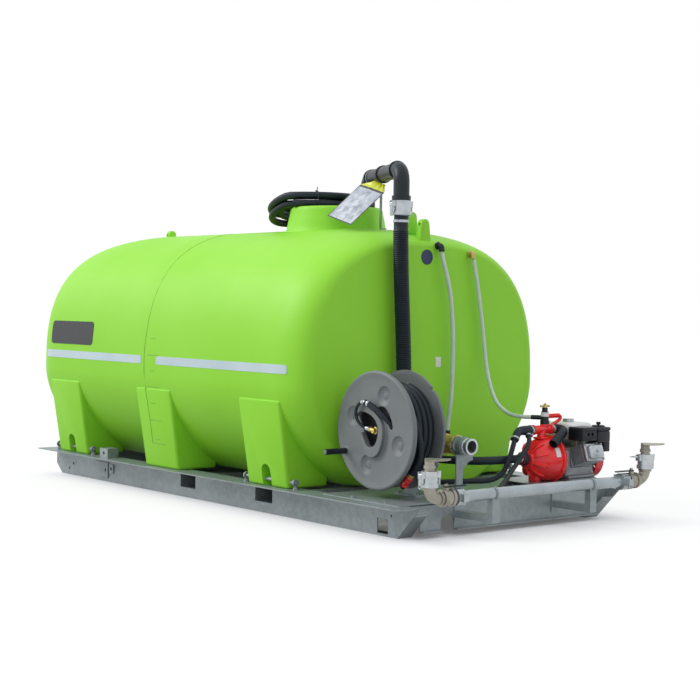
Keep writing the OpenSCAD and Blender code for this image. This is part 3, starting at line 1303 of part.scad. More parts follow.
fuel_c = [-150, 660];
fuel_z0 = 440;
fuel_z1 = 535;
module fuel_tank() color(c_white) at_datum() {
    half = [110, 100];
    wall = 3;
    neck_r = 24;
    difference() {
        union() {
            box([fuel_c.x - half.x, fuel_c.y - half.y, fuel_z0], [fuel_c.x + half.x, fuel_c.y + half.y, fuel_z1]);
            rod_z([fuel_c.x, fuel_c.y, fuel_z1 - edge], 8 + edge, neck_r);
        }
        box([fuel_c.x - half.x + wall, fuel_c.y - half.y + wall, fuel_z0 + wall], [fuel_c.x + half.x - wall, fuel_c.y + half.y - wall, fuel_z1 - wall]);
        rod_z([fuel_c.x, fuel_c.y, fuel_z1 - 2 * wall], 20, neck_r - 4);
    }
}

module fuel_cap() color(c_black) at_datum() difference() {
    rod_z([fuel_c.x, fuel_c.y, fuel_z1 + face_gap], 18, 33);
    rod_z([fuel_c.x, fuel_c.y, fuel_z1], 8 + 2 * face_gap, 24 + face_gap);
}

recoil_y = 738;
pull_rise = 116;
module recoil_cover() color(c_red) at_datum() difference() {
    union() {
        rod_y([crank_x, recoil_y + sheet_off, crank_z], 54, 106);
        box([crank_x - 20, recoil_y + 16, crank_z + 60], [crank_x + 20, recoil_y + 54, crank_z + pull_rise]);
    }
    rod_y([crank_x, recoil_y - edge, crank_z], 46, 98);
    rod_z([crank_x, recoil_y + 36, crank_z + 40], 100, 6);
    for (k = [0 : 11]) translate([crank_x, recoil_y + 40, crank_z]) rotate([0, 30 * k + 15, 0]) box([48, 0, -5], [82, 20, 5]);
}

module pull_handle() color(c_black) at_datum() {
    z = crank_z + pull_rise + face_gap;
    rod_x([crank_x - 34, recoil_y + 36, z + 12], 68, 10);
    rod_z([crank_x, recoil_y + 36, z], 14, 9);
    rod_z([crank_x, recoil_y + 36, z - 30], 32, 5);
}

side_rail_left();
side_rail_right();
rear_crossrail();
cross_members();
rear_deck();
pump_tray();
tie_down_brackets();
hold_down_bars();
fasteners();
pipe_supports();
tank_shell();
manhole_lid();
reflective_tapes();
sign_plates();
sight_tube();
plastic_fittings();
brass_fittings();
bypass_tube();
overhead_pipe();
hose_clamps();
camlock_couplers();
fill_cam_a();
fill_cam_b();
fill_hose();
fill_adaptor();
hose_coil();
document_bag();
reel_flange_near();
reel_flange_far();
reel_hose();
reel_swivel();
crank_grip();
reel_stand();
reel_nozzle();
spray_pipe();
grooved_couplings();
ball_valves();
valve_lever_left();
valve_lever_right();
spray_elbows();
spray_heads();
spray_cam_a();
spray_cam_b();
spray_cam_c();
spray_cam_d();
pump_casing();
pump_rotor();
suction_hose();
delivery_hose();
feed_hose();
relief_valve();
relief_handle();
engine_block();
muffler();
air_cleaner();
fuel_tank();
fuel_cap();
recoil_cover();
pull_handle();
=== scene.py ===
# Looks of the skid-mounted water cartage unit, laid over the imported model.
import math

import bpy
from mathutils import Matrix, Vector


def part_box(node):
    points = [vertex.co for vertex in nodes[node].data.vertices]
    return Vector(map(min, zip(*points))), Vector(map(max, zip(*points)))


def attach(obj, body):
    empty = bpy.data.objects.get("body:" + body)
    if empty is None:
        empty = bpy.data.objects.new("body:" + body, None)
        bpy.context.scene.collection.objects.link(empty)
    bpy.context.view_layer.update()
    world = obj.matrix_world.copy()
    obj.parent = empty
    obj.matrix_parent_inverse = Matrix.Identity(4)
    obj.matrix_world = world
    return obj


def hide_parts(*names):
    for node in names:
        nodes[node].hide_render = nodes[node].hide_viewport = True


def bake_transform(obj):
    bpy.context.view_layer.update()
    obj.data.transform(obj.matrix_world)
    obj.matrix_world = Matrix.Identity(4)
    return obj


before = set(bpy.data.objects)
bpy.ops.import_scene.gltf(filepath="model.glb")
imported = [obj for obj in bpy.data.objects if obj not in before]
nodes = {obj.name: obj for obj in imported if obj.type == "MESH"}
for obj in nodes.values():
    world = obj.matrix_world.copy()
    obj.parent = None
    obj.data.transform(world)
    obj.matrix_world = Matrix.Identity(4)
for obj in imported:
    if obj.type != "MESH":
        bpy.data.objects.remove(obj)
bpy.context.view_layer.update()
scene = bpy.context.scene

# the model's frame is the skid's datum moved along X, and the source's sizes are millimetres
SHIFT = 1.6075


def at(x, y, z):
    return Vector((x / 1000 + SHIFT, y / 1000, z / 1000))


X_AXIS, Y_AXIS, Z_AXIS = Vector((1, 0, 0)), Vector((0, 1, 0)), Vector((0, 0, 1))


# camera
CAMERA_PLACE = Vector((7.5326, -5.8247, 1.2061))
CAMERA_RIGHT = Vector((0.62509, 0.78044, 0.013076))
CAMERA_UP = Vector((-0.032562, 0.0093356, 0.999426))
CAMERA_BACK = Vector((0.779874, -0.625156, 0.031248))
SENSOR_MM, LENS_MM = 36, 78.85
camera = bpy.data.objects.new("photo_camera", bpy.data.cameras.new("photo_camera"))
scene.collection.objects.link(camera)
camera.data.sensor_width = SENSOR_MM
camera.data.lens = LENS_MM
turn = Matrix((CAMERA_RIGHT, CAMERA_UP, CAMERA_BACK)).transposed().to_4x4()
camera.matrix_world = Matrix.Translation(CAMERA_PLACE) @ turn
scene.camera = camera


# finishes

def wired(node, inputs):
    """Each input named takes a number, a colour or another node's output."""
    for key, value in inputs.items():
        if isinstance(value, bpy.types.NodeSocket):
            node.id_data.links.new(value, node.inputs[key])
        else:
            node.inputs[key].default_value = (*value, 1.0) if isinstance(value, tuple) else value
    return node


def new_node(tree, kind, inputs=None, **settings):
    made = tree.nodes.new(kind)
    for key, value in settings.items():
        setattr(made, key, value)
    return wired(made, inputs or {})


def noise(place, scale, detail):
    inputs = {"Vector": place, "Scale": scale, "Detail": detail, "Roughness": 0.55}
    return new_node(place.id_data, "ShaderNodeTexNoise", inputs).outputs["Fac"]


def ranged(value, low, high, to_low, to_high):
    inputs = {"Value": value, "From Min": low, "From Max": high, "To Min": to_low, "To Max": to_high}
    return new_node(value.id_data, "ShaderNodeMapRange", inputs).outputs["Result"]


def sums(how, first, second=0.0):
    return new_node(first.id_data, "ShaderNodeMath", {0: first, 1: second}, operation=how).outputs["Value"]


def blended(share, first, second):
    inputs = {0: share, 6: first, 7: second}
    return new_node(share.id_data, "ShaderNodeMix", inputs, data_type="RGBA").outputs[2]


def axes_of(place):
    return new_node(place.id_data, "ShaderNodeSeparateXYZ", {"Vector": place}).outputs


GLOSS_SPREAD = 0.1


def surface(name, colour, worn, rough, metal=0.0, patch=5.0, grain=260.0, bump=0.15, depth=0.0006,
            specular=0.5):
    """A finish with patches between two colours, grain in its bump and an uneven gloss."""
    made = bpy.data.materials.new(name)
    made.use_nodes = True
    tree = made.node_tree
    place = new_node(tree, "ShaderNodeTexCoord").outputs["Object"]
    patches = noise(place, patch, 6.0)
    mixed = blended(ranged(patches, 0.35, 0.68, 0.0, 1.0), colour, worn)
    gloss = ranged(patches, 0.3, 0.7, rough - GLOSS_SPREAD / 2, rough + GLOSS_SPREAD)
    height = {"Strength": bump, "Distance": depth, "Height": noise(place, grain, 3.0)}
    lift = new_node(tree, "ShaderNodeBump", height)
    shader = wired(tree.nodes["Principled BSDF"], {
        "Base Color": mixed, "Roughness": gloss, "Normal": lift.outputs["Normal"], "Metallic": metal,
        "Specular IOR Level": specular})
    return made, shader, place, mixed, lift


def plain(*looks, **settings):
    """A finish that takes nothing more."""
    return surface(*looks, **settings)[0]


# hot-dip zinc, with its crystals
SPANGLE_SCALE, SPANGLE_SHARE, SPANGLE_PALE = 42.0, 0.35, (0.41, 0.45, 0.46)
zinc, shader, place, mixed, lift = surface(
    "galvanised_zinc", (0.29, 0.325, 0.335), (0.225, 0.255, 0.265), 0.38, metal=0.4, patch=3.0, grain=180.0,
    bump=0.1)
cells = new_node(place.id_data, "ShaderNodeTexVoronoi", {"Scale": SPANGLE_SCALE, "Vector": place})
tone = new_node(place.id_data, "ShaderNodeSeparateColor", {"Color": cells.outputs["Color"]}).outputs["Red"]
wired(shader, {"Base Color": blended(ranged(tone, 0.0, 1.0, 0.0, SPANGLE_SHARE), mixed, SPANGLE_PALE)})

pipe_zinc = plain("pipe_zinc", (0.43, 0.47, 0.49), (0.35, 0.39, 0.41), 0.25, metal=0.6, patch=6.0,
                  grain=300.0, bump=0.06)
green = plain("moulded_green", (0.288, 0.69, 0.032), (0.268, 0.655, 0.027), 0.5, patch=1.3, grain=420.0,
              bump=0.12, depth=0.0004, specular=0.38)
# a darker green than the tank: painted shade, standing for the shade in the groove of the mould's seam; the
# level marks take it too
groove_shade_green = plain("mould_line_painted_shade", (0.17, 0.43, 0.017), (0.20, 0.49, 0.020), 0.5, patch=20.0, grain=420.0)
# black rubber with a blue cast in its colour: painted sheen, standing for the bluish sheen on the hoses
rubber = plain("hose_rubber_painted_sheen", (0.008, 0.0145, 0.021), (0.013, 0.0215, 0.030), 0.46, patch=14.0, grain=500.0,
               bump=0.2, specular=0.32)
black = plain("black_moulding", (0.010, 0.0135, 0.017), (0.016, 0.0205, 0.025), 0.38, patch=10.0, grain=600.0,
              bump=0.2, specular=0.36)
grey = plain("reel_grey", (0.150, 0.162, 0.166), (0.176, 0.188, 0.192), 0.5, patch=7.0, grain=700.0,
             bump=0.25)
# the reel's grey plastic made a little darker: painted shade for the far flange and drum, which lie in the
# near flange's shade
shaded_grey = plain("drum_grey_painted_shade", (0.135, 0.145, 0.150), (0.155, 0.166, 0.170), 0.5, patch=7.0, grain=700.0,
                  bump=0.25)
brass = plain("cast_brass", (0.66, 0.49, 0.16), (0.52, 0.38, 0.11), 0.32, metal=0.65, patch=20.0, grain=500.0)
bronze = plain("dull_bronze", (0.40, 0.375, 0.32), (0.30, 0.28, 0.235), 0.40, metal=0.8, patch=16.0,
               grain=420.0, bump=0.25)
steel = plain("bright_steel", (0.52, 0.55, 0.57), (0.42, 0.45, 0.47), 0.3, metal=0.9, patch=22.0, grain=600.0)
red = plain("pump_red", (0.95, 0.030, 0.034), (0.88, 0.024, 0.027), 0.2, patch=12.0, grain=350.0)
metal_grey = plain("engine_casting", (0.30, 0.32, 0.335), (0.22, 0.235, 0.25), 0.42, metal=0.6, patch=15.0,
                   grain=300.0, bump=0.4)
white = plain("white_moulding", (0.80, 0.80, 0.77), (0.72, 0.72, 0.69), 0.4, patch=9.0, grain=400.0)
polished = plain("polished_alloy", (0.56, 0.59, 0.61), (0.44, 0.48, 0.50), 0.26, metal=0.85, patch=18.0,
                 grain=500.0)
clear = plain("clear_hose", (0.50, 0.62, 0.52), (0.60, 0.69, 0.60), 0.2, patch=12.0, grain=300.0)

# tape of small prisms
PRISM_SCALE, PRISM_UNEVEN = 220.0, 0.15
tape, shader, place, mixed, lift = surface(
    "reflective_tape", (0.55, 0.66, 0.70), (0.48, 0.58, 0.62), 0.3, metal=0.2, patch=4.0, grain=500.0)
prisms = {"Scale": PRISM_SCALE, "Randomness": PRISM_UNEVEN, "Vector": place}
cells = new_node(place.id_data, "ShaderNodeTexVoronoi", prisms, feature="DISTANCE_TO_EDGE")
wired(lift, {"Height": cells.outputs["Distance"]})

# the long sign is dark, and on the tank's end the badge is blue and the label pale
BADGE_OVER, BADGE_BLUE = 1.4, (0.012, 0.03, 0.09)
LABEL_UNDER, LABEL_PALE = 0.95, (0.75, 0.78, 0.72)
vinyl, shader, place, mixed, lift = surface(
    "sign_vinyl", (0.018, 0.018, 0.018), (0.026, 0.026, 0.026), 0.3, patch=6.0, grain=500.0, bump=0.05)
axes = axes_of(place)
on_end = sums("GREATER_THAN", axes["X"], at(-640, 0, 0).x)
badge = sums("MULTIPLY", on_end, sums("GREATER_THAN", axes["Z"], BADGE_OVER))
label = sums("MULTIPLY", on_end, sums("LESS_THAN", axes["Z"], LABEL_UNDER))
wired(shader, {"Base Color": blended(label, blended(badge, mixed, BADGE_BLUE), LABEL_PALE)})


# ways of working a piece

def only(piece):
    bpy.ops.object.select_all(action="DESELECT")
    piece.select_set(True)
    bpy.context.view_layer.objects.active = piece


def settled(piece):
    only(piece)
    bpy.ops.object.transform_apply(location=True, rotation=True, scale=True)
    return piece


def worked(piece, kind, **settings):
    only(piece)
    step = piece.modifiers.new(kind.lower(), kind)
    for key, value in settings.items():
        setattr(step, key, value)
    bpy.ops.object.modifier_apply(modifier=step.name)
    return piece


def softened(piece, width, segments=3, angle=40):
    return worked(piece, "BEVEL", width=width, segments=segments, limit_method="ANGLE",
                  angle_limit=math.radians(angle))


def cut(piece, *tools, how="DIFFERENCE"):
    for tool in tools:
        worked(piece, "BOOLEAN", object=tool, operation=how, solver="EXACT")
        bpy.data.objects.remove(tool)
    return piece


def fused(piece, *forms):
    return cut(piece, *forms, how="UNION")


def bar(start, end, radius, sides=24, edge=0.0012, end_radius=None):
    run = end - start
    bpy.ops.object.select_all(action="DESELECT")
    bpy.ops.mesh.primitive_cone_add(
        vertices=sides, radius1=radius, radius2=end_radius or radius, depth=run.length,
        location=(start + end) / 2, rotation=run.to_track_quat("Z", "Y").to_euler())
    piece = settled(bpy.context.object)
    return softened(piece, edge, 2) if edge else piece


def block(low, high, edge=0.002):
    bpy.ops.object.select_all(action="DESELECT")
    bpy.ops.mesh.primitive_cube_add(size=1, location=(low + high) / 2)
    piece = bpy.context.object
    piece.scale = high - low
    settled(piece)
    return softened(piece, edge) if edge else piece


def meshed(name, points, faces=(), edges=()):
    data = bpy.data.meshes.new(name)
    data.from_pydata([tuple(p) for p in points], edges, faces)
    piece = bpy.data.objects.new(name, data)
    scene.collection.objects.link(piece)
    return piece


MERGE = 0.00001


def outward(piece):
    only(piece)
    bpy.ops.object.mode_set(mode="EDIT")
    bpy.ops.mesh.select_all(action="SELECT")
    bpy.ops.mesh.remove_doubles(threshold=MERGE)
    bpy.ops.mesh.normals_make_consistent(inside=False)
    bpy.ops.object.mode_set(mode="OBJECT")
    return piece


def turned(profile, foot, axis, sides=64):
    """A form turned about an axis from (radius, height) pairs in metres, height 0 at the foot."""
    steps = [(i, i + 1) for i in range(len(profile) - 1)]
    piece = meshed("turned", [(r, 0, h) for r, h in profile], edges=steps)
    worked(piece, "SCREW", steps=sides, render_steps=sides, angle=math.tau, use_merge_vertices=True,
           merge_threshold=MERGE)
    piece.rotation_euler = axis.to_track_quat("Z", "Y").to_euler()
    piece.location = foot
    return outward(settled(piece))


def joined(name, parts):
    bpy.ops.object.select_all(action="DESELECT")
    for part in parts:
        part.select_set(True)
    bpy.context.view_layer.objects.active = parts[0]
    if len(parts) > 1:
        bpy.ops.object.join()
    parts[0].name = name
    parts[0].data.name = name
    return parts[0]


def dressed(piece, finish):
    piece.data.materials.clear()
    piece.data.materials.append(finish)
    return piece


def fitted(piece, body, slot, *stands_for, angle=35):
    only(piece)
    if piece.type == "MESH":
        bpy.ops.object.shade_smooth_by_angle(angle=math.radians(angle))
    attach(piece, body)
    if stands_for:
        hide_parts(*stands_for)
    return piece


def finished(name, parts, finish, slot, *stands_for, body="unit", angle=35):
    """Parts made one piece with its finish, on a body, in the place of the nodes that it stands for."""
    return fitted(dressed(joined(name, parts), finish), body, slot, *stands_for, angle=angle)


# hoses and tubes that run free between two fittings

def hose(name, route, radius, finish, slot, stiffness, lay, *stands_for, body="unit"):
    line = bpy.data.curves.new(name, "CURVE")
    line.dimensions = "3D"
    line.bevel_depth = radius
    line.bevel_resolution = 6
    line.resolution_u = 8
    line.use_fill_caps = True
    spline = line.splines.new("BEZIER")
    spline.bezier_points.add(len(route) - 1)
    for knot, place in zip(spline.bezier_points, route):
        knot.co = at(*place)
        knot.handle_left_type = knot.handle_right_type = "AUTO"
    piece = bpy.data.objects.new(name, line)
    scene.collection.objects.link(piece)
    dressed(piece, finish)
    fitted(piece, body, slot, *stands_for)
    return piece


SIGHT_ROUTE = [(-590, 60, 1496.6), (-586, 69, 1450), (-579, 92, 1365), (-575, 110, 1290), (-575, 124, 1220),
               (-575, 134, 1130), (-575, 141, 1050), (-575, 143, 970), (-575, 143, 880), (-575, 141, 790),
               (-576, 137, 700), (-580, 131, 600), (-586, 126, 530), (-590, 124, 477.6)]
BYPASS_ROUTE = [(-596, 314.1, 1464.6), (-592, 322, 1425), (-590, 334, 1360), (-590, 349, 1290),
                (-590, 364, 1210), (-588, 380, 1115), (-585, 394, 1010), (-578, 402, 910), (-560, 402, 820),
                (-525, 392, 745), (-480, 378, 680), (-425, 364, 630), (-370, 356, 600), (-320, 351, 582),
                (-268, 347, 574), (-218, 355, 571), (-170.4, 379.1, 571)]
SUCTION_ROUTE = [(-100, 230, 350), (-100, 205, 350), (-100, 170, 350), (-100, 130, 350), (-105.5, 78, 349),
                 (-121.6, 28.3, 348), (-147.7, -16.9, 347), (-182.7, -55.8, 346), (-225, -86.5, 345),
                 (-272.7, -107.8, 344), (-323.9, -118.6, 343), (-380, -120, 342), (-450, -120, 341),
                 (-530, -120, 340), (-594, -120, 340)]
DELIVERY_ROUTE = [(-100, 240, 505), (-99, 218.4, 503), (-92.5, 197.5, 496.9), (-83.1, 178.2, 487),
                  (-73.8, 161.1, 473.6), (-67.3, 146.8, 457.3), (-63, 135.8, 438.6), (-60.1, 121.5, 408),
                  (-58, 107.2, 377.3), (-58.3, 92.9, 346.7), (-60.1, 78.6, 316.1), (-63.5, 66.2, 294.9),
                  (-68, 50, 276.4), (-77, 30.7, 261.4), (-88, 8.8, 250.2), (-100.3, -14.8, 243.3),
                  (-112.2, -39.2, 241), (-133.2, -90, 241), (-154.3, -140.8, 241), (-175.3, -191.6, 241),
                  (-206, -265.7, 241), (-219.6, -298.6, 246.6), (-231.9, -328.2, 263),
                  (-241.6, -351.7, 288.4), (-247.8, -366.8, 320.5), (-250, -372, 356), (-250, -372, 400),
                  (-250, -372, 440), (-250, -372, 481.5)]
FEED_ROUTE = [(-68, 257, 473), (-50, 243, 456), (-34, 218, 430), (-22, 186, 402), (-14, 150, 374),
              (-4, 108, 342), (14, 60, 315), (46, 4, 294), (91, -62, 277), (136, -130, 262),
              (180, -194, 250), (196.4, -213.3, 247), (217.2, -227.8, 245), (240.8, -236.9, 244),
              (263.8, -240, 244)]
hose("sight_tube_clear", SIGHT_ROUTE, 0.0125, clear, "clear_tube", "stiff", "hanging", "sight_tube")
hose("return_hose_clear", BYPASS_ROUTE, 0.0115, clear, "clear_tube", "medium", "hanging", "bypass_tube")
hose("suction_hose_run", SUCTION_ROUTE, 0.023, rubber, "black_rubber", "stiff", "taut", "suction_hose")
hose("delivery_hose_run", DELIVERY_ROUTE, 0.014, rubber, "black_rubber", "medium", "hanging", "delivery_hose")
hose("feed_hose_run", FEED_ROUTE, 0.013, rubber, "black_rubber", "medium", "hanging", "feed_hose")


def ease(t):
    return t * t * (3 - 2 * t)


def tube_along(name, centres, radii, sides):
    """A closed tube through centres, its sides carried along without twist."""
    points = []
    side = None
    for i, (centre, radius) in enumerate(zip(centres, radii)):
        way = (centres[min(i + 1, len(centres) - 1)] - centres[max(i - 1, 0)]).normalized()
        if side is None:
            side = way.cross(Z_AXIS if abs(way.z) < 0.9 else X_AXIS).normalized()
        side = (side - way * side.dot(way)).normalized()
        other = way.cross(side)
        for k in range(sides):
            a = math.tau * k / sides
            points.append(centre + radius * (math.cos(a) * side + math.sin(a) * other))
    faces = []
    for i in range(len(centres) - 1):
        for k in range(sides):
            j = (k + 1) % sides
            faces.append((i * sides + k, i * sides + j, (i + 1) * sides + j, (i + 1) * sides + k))
    last = (len(centres) - 1) * sides
    faces.append(tuple(reversed(range(sides))))
    faces.append(tuple(last + k for k in range(sides)))
    return outward(meshed(name, points, faces))


FILL_X, FILL_Y, FILL_SWAY = -560.0, -275.0, 38.0
FILL_TOP, FILL_Z = 1691.4, 446.0
FILL_BEND, FILL_LEAD = 230.0, 70.0
VALVE_X = -210.3
FILL_DOWN = FILL_TOP - FILL_Z - FILL_BEND
FILL_ARC = FILL_BEND * math.pi / 2
FILL_LENGTH = FILL_DOWN + FILL_ARC + (VALVE_X - FILL_X - FILL_BEND)


def fill_at(s):
    if s < FILL_DOWN:
        sway = ease(max(0.0, s - FILL_LEAD) / (FILL_DOWN - FILL_LEAD))
        return at(FILL_X, FILL_Y + FILL_SWAY * sway, FILL_TOP - s)
    low_y = FILL_Y + FILL_SWAY
    if s < FILL_DOWN + FILL_ARC:
        a = (s - FILL_DOWN) / FILL_BEND
        return at(FILL_X + FILL_BEND * (1 - math.cos(a)), low_y, FILL_Z + FILL_BEND * (1 - math.sin(a)))
    return at(FILL_X + FILL_BEND + s - FILL_DOWN - FILL_ARC, low_y, FILL_Z)


RIB_END, RIB_COUNT, RIB_STEPS = 84.0, 126, 4
RIB_MID, RIB_SWELL, PLAIN_R = 0.0425, 0.0020, 0.0405
rib_run = (FILL_LENGTH - 2 * RIB_END) / RIB_COUNT
stations = [0.0, RIB_END * 0.5]
heights = [PLAIN_R, PLAIN_R]
for i in range(RIB_COUNT * RIB_STEPS + 1):
    stations.append(RIB_END + rib_run * i / RIB_STEPS)
    heights.append(RIB_MID + RIB_SWELL * math.cos(math.tau * i / RIB_STEPS + math.pi))
stations += [FILL_LENGTH - RIB_END * 0.5, FILL_LENGTH]
heights += [PLAIN_R, PLAIN_R]
fill_line = [fill_at(s) for s in stations]
# each end sits a little off the middle of its tail, against the tail's wall
fill_line[0] += Vector((0.0025, 0, 0))
fill_line[-1] += Vector((0, 0.0025, 0))
fill_hose = tube_along("fill_hose_ribbed", fill_line, heights, 32)
finished("fill_hose_ribbed", [fill_hose], rubber, "black_rubber", "fill_hose", angle=60)

# stowed coil: turns laid inwards, one step up, then outwards over the first, sagging past the collar
COLLAR_X, COLLAR_TOP = -1490, 1780
COIL_X, COIL_Y, COIL_START = -1700, -30, -60
COIL_D, COIL_TURNS, COIL_STEPS = 44.0, 4.5, 216
COIL_OUT, COIL_PITCH, COIL_RISE, COIL_SINK = 290, 52, 50, 2.3
TURNED_IN, TURNED_UP = 2, 2.5
SAG, SAG_FROM, SAG_RUN = 128, 300, 200


def coil_at(n):
    inward = COIL_PITCH * min(n, TURNED_IN)
    radius = COIL_OUT - inward + COIL_PITCH * max(0.0, n - TURNED_UP)
    up = ease(min(max(0.0, (n - TURNED_IN) / (TURNED_UP - TURNED_IN)), 1.0))
    a = math.radians(COIL_START + 360 * n)
    x = COIL_X + radius * math.cos(a)
    y = COIL_Y + radius * math.sin(a)
    out = math.hypot(x - COLLAR_X, y)
    sag = SAG * (max(0.0, out - SAG_FROM) / SAG_RUN) ** 1.3
    return at(x, y, COLLAR_TOP + COIL_D / 2 - COIL_SINK + COIL_RISE * up - sag)


coil_line = [coil_at(COIL_TURNS * i / COIL_STEPS) for i in range(COIL_STEPS + 1)]
coil = tube_along("stowed_coil", coil_line, [COIL_D / 2000] * len(coil_line), 20)
finished("stowed_coil", [coil], rubber, "black_rubber", "hose_coil", angle=60)

# tie round the coil's strands, pulled up to its head
TIE_OUT = Vector((math.cos(math.radians(-30)), math.sin(math.radians(-30)), 0))
TIE_R, TIE_OFF, TIE_STEPS = 0.0028, 0.002, 36
tie_strands = [coil_at(k + 1 / 12) for k in range(5)]
tie_line = []
for k in range(TIE_STEPS + 3):
    a = math.tau * (k % TIE_STEPS) / TIE_STEPS
    way = TIE_OUT * math.cos(a) + Vector((0, 0, math.sin(a)))
    tie_line.append(max(tie_strands, key=lambda strand: strand.dot(way)) + way * (COIL_D / 2000 + TIE_OFF))
tie_loop = tube_along("tie_loop", tie_line, [TIE_R] * len(tie_line), 10)
tie_top = max(tie_line, key=lambda p: p.z)
tie_head = block(tie_top - Vector((0.005, 0.007, 0.002)), tie_top + Vector((0.005, 0.007, 0.010)), 0.002)
tie_end = bar(tie_top, tie_top + Vector((0, 0.006, 0.030)), 0.0026, 12, edge=0.0006)
finished("coil_tie", [tie_loop, tie_head, tie_end], black, "black_plastic", angle=60)

# hose on the reel, and its nozzle
REEL_X, REEL_Z = -250.0, 534.0
NEAR_Y, FAR_Y = -705.0, -478.0


def reel_at(radius, angle, y):
    a = math.radians(angle)
    return at(REEL_X + radius * math.cos(a), y, REEL_Z + radius * math.sin(a))


WIND_R, LIFT_R = 238.2, 276.8
FLANGE_T, WIND_CLEAR = 20, 18.8
WIND_Y = (FAR_Y - FLANGE_T - WIND_CLEAR, NEAR_Y + FLANGE_T + WIND_CLEAR)
OVER_Y = -590
LAYER, CLIMB, CROSS_FROM, WIND_END = 1440, 80, 1485, 1560
WIND_LAST = -44
REEL_HOSE_R = 0.018


def wound_at(g):
    a = WIND_LAST + WIND_END - g
    if g <= LAYER:
        return reel_at(WIND_R, a, WIND_Y[0] + (WIND_Y[1] - WIND_Y[0]) * g / LAYER)
    lifted = WIND_R + (LIFT_R - WIND_R) * ease(min(1.0, (g - LAYER) / CLIMB))
    across = ease(max(0.0, (g - CROSS_FROM) / (WIND_END - CROSS_FROM)))
    return reel_at(lifted, a, WIND_Y[1] + (OVER_Y - WIND_Y[1]) * across)


wound_line = [wound_at(g) for g in range(0, WIND_END + 1, 5)]
END_A = math.radians(WIND_LAST)
reel_end = Vector((math.sin(END_A), 0, -math.cos(END_A)))
wound_line.append(wound_line[-1] + reel_end * 0.036)
wound = tube_along("reel_hose_wound", wound_line, [REEL_HOSE_R] * len(wound_line), 20)
finished("reel_hose_wound", [wound], rubber, "black_rubber", "reel_hose", body="reel", angle=60)


def scaled(profile):
    return [(r / 1000, h / 1000) for r, h in profile]


# nozzle: brass tail, red barrel with its grip rings, black tip
NOZZLE_TAIL = [(0, 0), (17, 0), (18, 2), (18, 9), (14, 11), (14, 16), (17.5, 17), (17.5, 24), (0, 24)]
NOZZLE_BARREL = [(0, 24), (18, 24), (21, 26), (21, 33), (18, 36), (18, 44), (20, 46), (20, 74), (18.5, 77),
                 (18.5, 80), (21, 82), (21.5, 90), (19, 94), (0, 94)]
NOZZLE_TIP = [(0, 94), (16, 94), (16.5, 97), (13, 110), (8, 110), (7, 104), (0, 104)]
NOZZLE = (("nozzle_tail", NOZZLE_TAIL, brass, "brass"),
          ("nozzle_barrel", NOZZLE_BARREL, red, "red_paint", "reel_nozzle"),
          ("nozzle_tip", NOZZLE_TIP, black, "black_plastic"))
nozzle_foot = wound_line[-1] + reel_end * 0.0003
for name, profile, finish, slot, *stands_for in NOZZLE:
    form = turned(scaled(profile), nozzle_foot, reel_end, 40)
    finished(name, [form], finish, slot, *stands_for, body="reel")


def prism(near, far):
    count = len(near)
    walls = [(i, (i + 1) % count, count + (i + 1) % count, count + i) for i in range(count)]
    return outward(meshed("prism", near + far, walls + [tuple(range(count)), tuple(range(count, 2 * count))]))


def flowing(points, steps=5):
    """A closed smooth line through points."""
    line = []
    count = len(points)
    for i in range(count):
        a, b, c, d = (Vector(points[(i + k) % count]) for k in (-1, 0, 1, 2))
        for k in range(steps):
            t = k / steps
            bend = (2 * a - 5 * b + 4 * c - d) * t ** 2 + (3 * b - a - 3 * c + d) * t ** 3
            line.append((2 * b + (c - a) * t + bend) / 2)
    return line


# flanges of the reel: (radius, depth) from the outer face, and outlines about the axle as (across, up)
FLANGE_RIM = [(235, 8), (272, 6), (291, 2.6), (301, 0), (309, 1.5), (314, 6), (316, 14), (315, 23),
              (311, 29.5), (304, 32), (298, 30), (293, 25), (280, 20.5)]
HUB_BOSS = [(-73, -100), (-50, -130), (-20, -142), (15, -138), (45, -118), (65, -88), (78, -50), (84, -10),
            (80, 30), (60, 62), (25, 90), (-15, 112), (-50, 130), (-88, 140), (-122, 133), (-145, 112),
            (-150, 90), (-140, 70), (-110, 40), (-95, 0), (-85, -50)]
HUB_MOUTH = [(-130, 64), (-118, 84), (-92, 95), (-55, 92), (-15, 80), (22, 58), (42, 28), (47, -5),
             (38, -45), (18, -75), (-8, -88), (-40, -86), (-62, -60), (-85, -20), (-108, 20), (-124, 45)]
HOSE_SLOT = [(10, 112), (45, 128), (75, 122), (107, 95), (130, 55), (137, 20), (118, 14), (98, 42),
             (70, 74), (36, 98)]
CUP = [(0, 7), (56, 7), (53, 12), (30, 31), (0, 31)]
CUP_HOLLOW = [(0, 20), (14, 20), (16, 23), (25, 22.5), (44, 15), (51, 9), (55, 3), (56, -4), (0, -4)]
CUP_R, CUP_A = 197, 70
GRIP_R, GRIP_A = 267, 208


def on_reel(outline, y):
    return [at(REEL_X + u, y, REEL_Z + v) for u, v in outline]


def spun(profile, y, way=1, sides=96):
    return turned(scaled(profile), at(REEL_X, y, REEL_Z), Vector((0, way, 0)), sides)


def through_near(outline, start, end):
    smooth = flowing(outline)
    return prism(on_reel(smooth, NEAR_Y + start), on_reel(smooth, NEAR_Y + end))


def cup_at(k, profile):
    return turned(scaled(profile), reel_at(CUP_R, CUP_A + 90 * k, NEAR_Y), Y_AXIS, 40)


